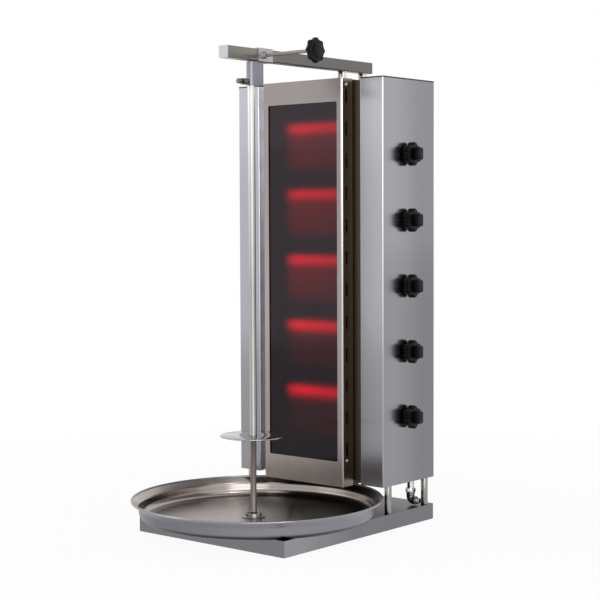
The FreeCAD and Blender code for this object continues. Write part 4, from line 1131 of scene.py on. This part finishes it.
@dataclass
class Screws:
    """Every pan head screw, with a domed head and a cross recess.

    The sizes are the shank's radius, the head's radius and the head's height. The recess, its
    ring and its depth are shares of the head's radius or height.
    """

    small: Triple = (2 * MM, 4.2 * MM, 2.4 * MM)
    large: Triple = (3 * MM, 5.5 * MM, 3 * MM)
    arm: float = 0.52
    half_arm: float = 0.13
    ring: float = 0.72
    dome: Corners = ((0.93, 0.72), (1.0, 0.4), (1.0, 0.0))
    pit: float = 0.55
    pit_taper: Triple = (0.8, 0.8, 1.0)
    # The lengths of the case screws' shanks, and of those in the ends of a post.
    short: float = 5.4 * MM
    middle: float = 5.7 * MM
    long: float = 9 * MM
    post_ends: Pair = (15 * MM, 13.2 * MM)
    low_row: float = 120 * MM
    row_pitch: float = 854 * MM / 3
    burner_z: float = 0.250
    burner_pitch: float = 0.150

    def screw(self, size: Triple, length: float) -> Mesh:
        """One screw: its head rises from Z 0 and its shank goes down from there.

        Args:
            size: The shank's radius, the head's radius and the head's height.
            length: The shank's length.

        Returns:
            The new bmesh.
        """
        shank, head, height = size
        mesh = bmesh.new()
        arm, half = self.arm * head, self.half_arm * head
        corners = [(arm, -half), (arm, half), (half, half), (half, arm), (-half, arm), (-half, half),
                   (-arm, half), (-arm, -half), (-half, -half), (-half, -arm), (half, -arm), (half, -half)]
        cross = [mesh.verts.new((x, y, height)) for x, y in corners]
        edges = [mesh.edges.new((a, b)) for a, b in zip(cross, cross[1:] + cross[:1])]
        ring = bmesh.ops.create_circle(mesh, cap_ends=False, segments=24, radius=self.ring * head)["verts"]
        bmesh.ops.translate(mesh, vec=(0, 0, height), verts=ring)
        circle = edges_between(mesh, ring)
        bmesh.ops.bridge_loops(mesh, edges=edges + circle)
        for radius, level in (*self.dome, (shank / head, 0.0), (shank / head, -length / height)):
            verts, circle = self.extruded(mesh, circle)
            for vert in verts:
                flat = Vector((vert.co.x, vert.co.y, 0.0)).normalized() * radius * head
                vert.co = Vector((flat.x, flat.y, level * height))
        bmesh.ops.edgeloop_fill(mesh, edges=circle)
        floor, rim = self.extruded(mesh, edges)
        bmesh.ops.translate(mesh, vec=(0, 0, -self.pit * height), verts=floor)
        bmesh.ops.scale(mesh, vec=self.pit_taper, verts=floor)
        bmesh.ops.edgeloop_fill(mesh, edges=rim)
        return mesh

    @staticmethod
    def extruded(mesh: Mesh, edges: Sequence[Edge]) -> tuple[list[Any], list[Edge]]:
        """Extrude a loop of edges, and give the new vertices and edges."""
        step = bmesh.ops.extrude_edge_only(mesh, edges=edges)["geom"]
        return ([g for g in step if isinstance(g, bmesh.types.BMVert)],
                [g for g in step if isinstance(g, Edge)])

    def case_places(self) -> list[Seat]:
        """Where each M4 head seats, the axis that its head faces, whether against it, and its length."""
        rows = [self.low_row + self.row_pitch * i for i in range(4)]
        places = [((side * x, 0.307, z), Axis.Y, False, self.short)
                  for x in (0.155, 0.205, 0.1066) for side in (-1, 1) for z in rows]
        places += [((side * 0.116, 0.110, z), Axis.X, side < 0, self.short)
                   for side in (-1, 1) for z in (147.9 * MM, 982.7 * MM)]
        places += [((side * x, 0.1585, z), Axis.X, side * way < 0, self.middle)
                   for side in (-1, 1) for z in (0.125, 0.969) for x, way in ((0.1492, 1), (0.1136, -1))]
        places += [((side * 0.022, y, 0.9998), Axis.Z, False, self.long)
                   for side in (-1, 1) for y in (0.224, 0.281)]
        places += [((side * 0.072, 0.1875, self.burner_z + self.burner_pitch * i + up), Axis.Y, False,
                    self.middle) for i in range(5) for side in (-1, 1) for up in (-0.041, 0.041)]
        return places

    def post_places(self) -> list[Seat]:
        """The same for the M6 screws in the ends of the posts."""
        ends = ((32 * MM, True, self.post_ends[0]), (98.2 * MM, False, self.post_ends[1]))
        return [((side * 0.203, y, z), Axis.Z, down, length)
                for side in (-1, 1) for y in (0.1455, 0.283) for z, down, length in ends]

    def build(self, zinc: Material) -> None:
        """Make both groups of screws."""
        for name, node, size, places in (("case_pan_screws", "case_screws", self.small, self.case_places()),
                                         ("post_pan_screws", "post_screws", self.large, self.post_places())):
            mesh = bmesh.new()
            for start, axis, back, length in places:
                merge_into(mesh, self.screw(size, length), turning(start, axis, back))
            make_piece(name, mesh, zinc, "frame", [node], sharp=40.0)


@dataclass
class PostsAndSpacers:
    """The four round posts under the boxes, and the two spacers under the top bar.

    Each kind is a radius, a length, the rounding of its ends, its bore and its steps round.
    """

    posts: tuple[float, ...] = (8 * MM, 62 * MM, 0.8 * MM, 3.05 * MM, 64)
    post_places: Sequence[Triple] = tuple((x, y, 35 * MM) for x in (-0.203, 0.203) for y in (0.1455, 0.283))
    spacers: tuple[float, ...] = (5.5 * MM, 28.8 * MM, 0.6 * MM, 2.7 * MM, 48)
    spacer_places: Sequence[Triple] = ((-0.0076, 0.243, 0.9998), (-0.0076, 0.320, 0.9998))

    def build(self, steel: Material) -> None:
        """Make the posts and the spacers."""
        for name, node, sizes, places in (
                ("round_support_posts", "support_posts", self.posts, self.post_places),
                ("turned_bar_spacers", "bar_spacers", self.spacers, self.spacer_places)):
            mesh = bmesh.new()
            for place in places:
                merge_into(mesh, rod(*sizes), Matrix.Translation(place))
            make_piece(name, mesh, steel, "frame", [node])


# --- Camera and studio -------------------------------------------------------


@dataclass
class Studio:
    """The camera at the photograph's angle, a white floor and soft light."""

    eye: Triple = (2.1684, -2.4715, 0.6878)
    azimuth: float = 40.2924
    pitch: float = 3.1209
    roll: float = -0.2450
    lens: float = 89.27
    sensor: float = 36.0
    farthest: float = 50.0
    world_level: float = 0.62
    floor_size: float = 12.0
    # From and to which distance, and from and to which share, the floor turns plain white.
    floor_shares: tuple[float, ...] = (0.5, 2.0, 0.94, 1.0)
    # Each lamp's name, place, aim, width, height and power.
    lamps: Sequence[tuple[Any, ...]] = (
        ("front_left", (-2.3, -2.3, 1.85), (0.0, 0.0, 1.0), 2.2, 1.7, 12.0),
        ("front_left_low", (-2.3, -2.3, 0.58), (0.0, 0.0, 0.6), 2.2, 0.9, 3.8),
        ("back_right", (2.1, 2.7, 1.5), (0.2, 0.2, 0.7), 2.0, 2.0, 3.6),
        ("beyond_camera", (2.75, -2.3, 1.3), (0.1, 0.0, 0.6), 2.6, 2.4, 45.0),
        ("small_top_right", (1.4, -0.3, 2.8), (0.15, -0.05, 1.0), 0.35, 0.35, 5.0),
        ("over_pan", (-1.7, -0.2, 2.0), (0.0, -0.1, 0.05), 0.6, 0.6, 6.0),
    )

    def build(self) -> None:
        """Make the camera, the floor, the world and the lamps."""
        self.camera()
        self.floor()
        self.world()
        for lamp in self.lamps:
            self.lamp(*lamp)

    def camera(self) -> None:
        """Place the camera and make it the scene's own."""
        azimuth, pitch, roll = (math.radians(v) for v in (self.azimuth, self.pitch, self.roll))
        forward = Vector((-math.sin(azimuth) * math.cos(pitch), math.cos(azimuth) * math.cos(pitch),
                          -math.sin(pitch)))
        right = Vector((math.cos(azimuth), math.sin(azimuth), 0.0))
        up = right.cross(forward)
        across = right * math.cos(roll) + up * math.sin(roll)
        upward = up * math.cos(roll) - right * math.sin(roll)
        data = bpy.data.cameras.new("camera")
        data.lens = self.lens
        data.sensor_width = self.sensor
        data.clip_end = self.farthest
        camera = bpy.data.objects.new("camera", data)
        turn = Matrix((across, upward, -forward)).transposed().to_4x4()
        camera.matrix_world = Matrix.Translation(self.eye) @ turn
        bpy.context.scene.collection.objects.link(camera)
        bpy.context.scene.camera = camera

    def floor(self) -> None:
        """A wide white floor that keeps a soft shadow near the object and fades to white away from it."""
        mesh = bmesh.new()
        bmesh.ops.create_grid(mesh, x_segments=2, y_segments=2, size=self.floor_size)
        data = bpy.data.meshes.new("white_floor")
        mesh.to_mesh(data)
        mesh.free()
        data.materials.append(shaded("white_floor", self.floor_shader))
        floor = bpy.data.objects.new("white_floor", data)
        bpy.context.scene.collection.objects.link(floor)

    def floor_shader(self, tree: Tree) -> Socket:
        """Matt where the object's shadow falls, plain white away from it."""
        away = add(tree, "VectorMath", (object_place(tree),), "Value", operation="LENGTH")
        white = add(tree, "MapRange", (away, *self.floor_shares), **SMOOTH)
        share = add(tree, "Math", (self.shown_rays(tree), white), **TIMES)
        matt, bright = add(tree, "BsdfDiffuse", ("ededed",)), add(tree, "Emission", ("ffffff", 1.0))
        return add(tree, "MixShader", (share, matt, bright))

    @staticmethod
    def shown_rays(tree: Tree) -> Socket:
        """One for rays that show the background: the camera's own, in a mirror or through glass."""
        camera, glossy, through = (add(tree, "LightPath", out=f"Is {kind} Ray")
                                   for kind in ("Camera", "Glossy", "Transmission"))
        direct = add(tree, "Math", (camera, through), operation="MAXIMUM")
        return add(tree, "Math", (direct, glossy), operation="MAXIMUM")

    def world(self) -> None:
        """White to the camera, a plain grey room to everything else."""
        world = bpy.data.worlds.new("studio")
        bpy.context.scene.world = world
        world.use_nodes = True
        tree = world.node_tree
        tree.nodes.clear()
        room, white = (add(tree, "Background", given)
                       for given in (("f4f4f6", self.world_level), ("ffffff", 1.0)))
        add(tree, "OutputWorld", (add(tree, "MixShader", (self.shown_rays(tree), room, white)),), None)

    @staticmethod
    def lamp(name: str, place: Triple, aim: Triple, width: float, height: float, power: float) -> None:
        """Add one soft rectangular lamp.

        Args:
            name: The lamp's name.
            place: Where it stands.
            aim: The point that it faces.
            width: Its width in metres.
            height: Its height in metres.
            power: Its power in watts.
        """
        data = bpy.data.lights.new(name, "AREA")
        data.shape = "RECTANGLE"
        data.size = width
        data.size_y = height
        data.energy = power
        lamp = bpy.data.objects.new(name, data)
        away = (Vector(aim) - Vector(place)).to_track_quat("-Z", "Y")
        lamp.matrix_world = Matrix.Translation(Vector(place)) @ away.to_matrix().to_4x4()
        bpy.context.scene.collection.objects.link(lamp)


# --- The grill ---------------------------------------------------------------


@dataclass
class Grill:
    """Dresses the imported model: finishes for its nodes, and detail pieces in place of some."""

    nodes: dict[str, bpy.types.Object]
    finishes: dict[str, Material] = field(default_factory=dict)

    def dress(self) -> None:
        """Build every finish once, and give it to its CAD nodes."""
        five = range(1, 6)
        body = ("929297", "8e8e93")
        # After the two tones come the roughness, how much it varies and how deep the relief looks.
        table = (
            (BoxSheet("ground_box_sheet", *body, 0.20), ["control_box_shell", "left_box_shell"]),
            (LidSheet("ground_lid_sheet", *body, grain=Axis.Y), ["control_box_top", "left_box_top"]),
            (BrushedSteel("ground_back_sheet", *body), ["back_panel"]),
            (TieSheet("rolled_tie_sheet", roughness=0.40), ["tie_brackets"]),
            (HeaterFrameSheet("straw_tinted_frame", "9c9593", "968f8d", 0.30), ["glass_frame"]),
            # The casing's dark brown is heat oxide, and painted shade of the gaps that it is seen through.
            (BrushedSteel("browned_and_shaded_case_sheet", "423b34", "393229", 0.40),
             ["heater_casing", "heater_top", "heater_bottom", "burner_rails"]),
            (BaseSheet("ground_base_sheet", "95959a", "8e8e93", 0.30, grain=Axis.X),
             ["base_tray", "base_stiffeners"]),
            (BarSheet("ground_square_tube", "6a6664", "63605e", 0.30, grain=Axis.Y),
             ["top_bar", "bar_saddle"]),
            (BrushedSteel("ground_end_cap", "a6a5aa", "9e9da2", 0.30, grain=Axis.X), ["bar_end_caps"]),
            (BrushedSteel("ground_sleeve_tube", "a6a4a4", "9e9c9c", 0.32, grain=Axis.Y), ["holder_sleeve"]),
            (BrushedSteel("satin_hanger_steel", "8c8c92", "808086", 0.40), ["spit_hanger"]),
            (SpitSteel("ground_spit_bar"), ["spit_rod"]),
            (SpunPanSteel("browned_pan_steel", "8b837f", "837b77", 0.22, 0.02, 0.01), ["drip_pan"]),
            (TurnedSteel("polished_disc_steel", "a4a2a1", "969493", 0.12), ["meat_disc"]),
            (TurnedSteel("turned_socket_steel", "8c8a89", "7c7a79", 0.18), ["foot_socket"]),
            (Finish("turned_post_steel", "9c9993", "8c8984", 0.27, 0.03),
             ["support_posts", "bar_spacers", "clamp_screw"]),
            (Finish("zinc_plated_screws", "d0d0d2", "b0b0b4", 0.28),
             ["post_screws", "case_screws", "bar_studs", *(f"spindle_{n}" for n in five)]),
            (Finish("black_phenolic", "0a0a0c", "060607", 0.32, 0.05, 0.12, metallic=0.0, shine=0.12,
                    grit=1.5 * MM), ["star_knob", *(f"control_knob_{n}" for n in five)]),
            (Finish("machined_brass", "c9a45a", "a98642", 0.30),
             ["injectors", "valve_bodies", *(f"valve_plug_{n}" for n in five)]),
            (Finish("plated_gas_pipe", "b0b0b4", "94949a", 0.35), ["feed_pipes", "gas_manifold"]),
            (Finish("copper_lead", "c07a52", "9a5c3c", 0.35), ["thermocouples"]),
            (Finish("bright_chrome", "e6e6ea", "d6d6da", 0.08, 0.03), ["inlet_nipple", "inlet_nut"]),
            (Finish("grey_cast_elbow", "8f9094", "6e6f74", 0.35, 0.08, 0.5, grit=2.0 * MM), ["inlet_elbow"]),
            (Finish("dull_latch_steel", "6c6e6a", "5c5e5a", 0.28, 0.05), ["latch_barrel", "latch_plunger"]),
            (Finish("heat_darkened_sheet", "6f665e", "4c443e", 0.5, 0.1, 0.3, grit=3.0 * MM),
             ["burner_boxes", "burner_venturis"]),
            (Finish("fibre_tape", "cfc8b8", "b4ad9c", 0.9, 0.05, 0.6, metallic=0.0, grit=1.0 * MM),
             ["glass_seal"]),
            (Finish("sintered_bronze", "a07c48", "7e6038", 0.45, 0.08, 0.3, grit=1.0 * MM), ["foot_bush"]),
            (SmokedGlass(), ["ceramic_glass"]),
            (GlowingPlaque(), ["burner_plaques"]),
        )
        for finish, names in table:
            material = self.finishes[finish.name] = shaded(finish.name, finish.shader)
            for name in names:
                data = self.nodes[name].data
                data.materials.clear()
                data.materials.append(material)

    def build(self) -> None:
        """Dress the nodes and add the detail pieces."""
        self.dress()
        DripPan().build(self.finishes["browned_pan_steel"])
        SpitAndDisc().build(self.finishes)
        ControlKnobs().build(self.finishes["black_phenolic"])
        Clamp().build(self.finishes)
        Latch().build(self.finishes)
        GasInlet().build(self.finishes)
        Screws().build(self.finishes["zinc_plated_screws"])
        PostsAndSpacers().build(self.finishes["turned_post_steel"])


def main() -> None:
    """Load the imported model, set the studio up and dress the grill."""
    logging.basicConfig(level=logging.INFO, format="%(name)s: %(message)s")
    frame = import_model()
    bpy.context.scene.view_settings.view_transform = "Standard"
    Studio().build()
    Grill(frame["nodes"]).build()
    bpy.context.view_layer.update()


if __name__ == "__main__":
    main()
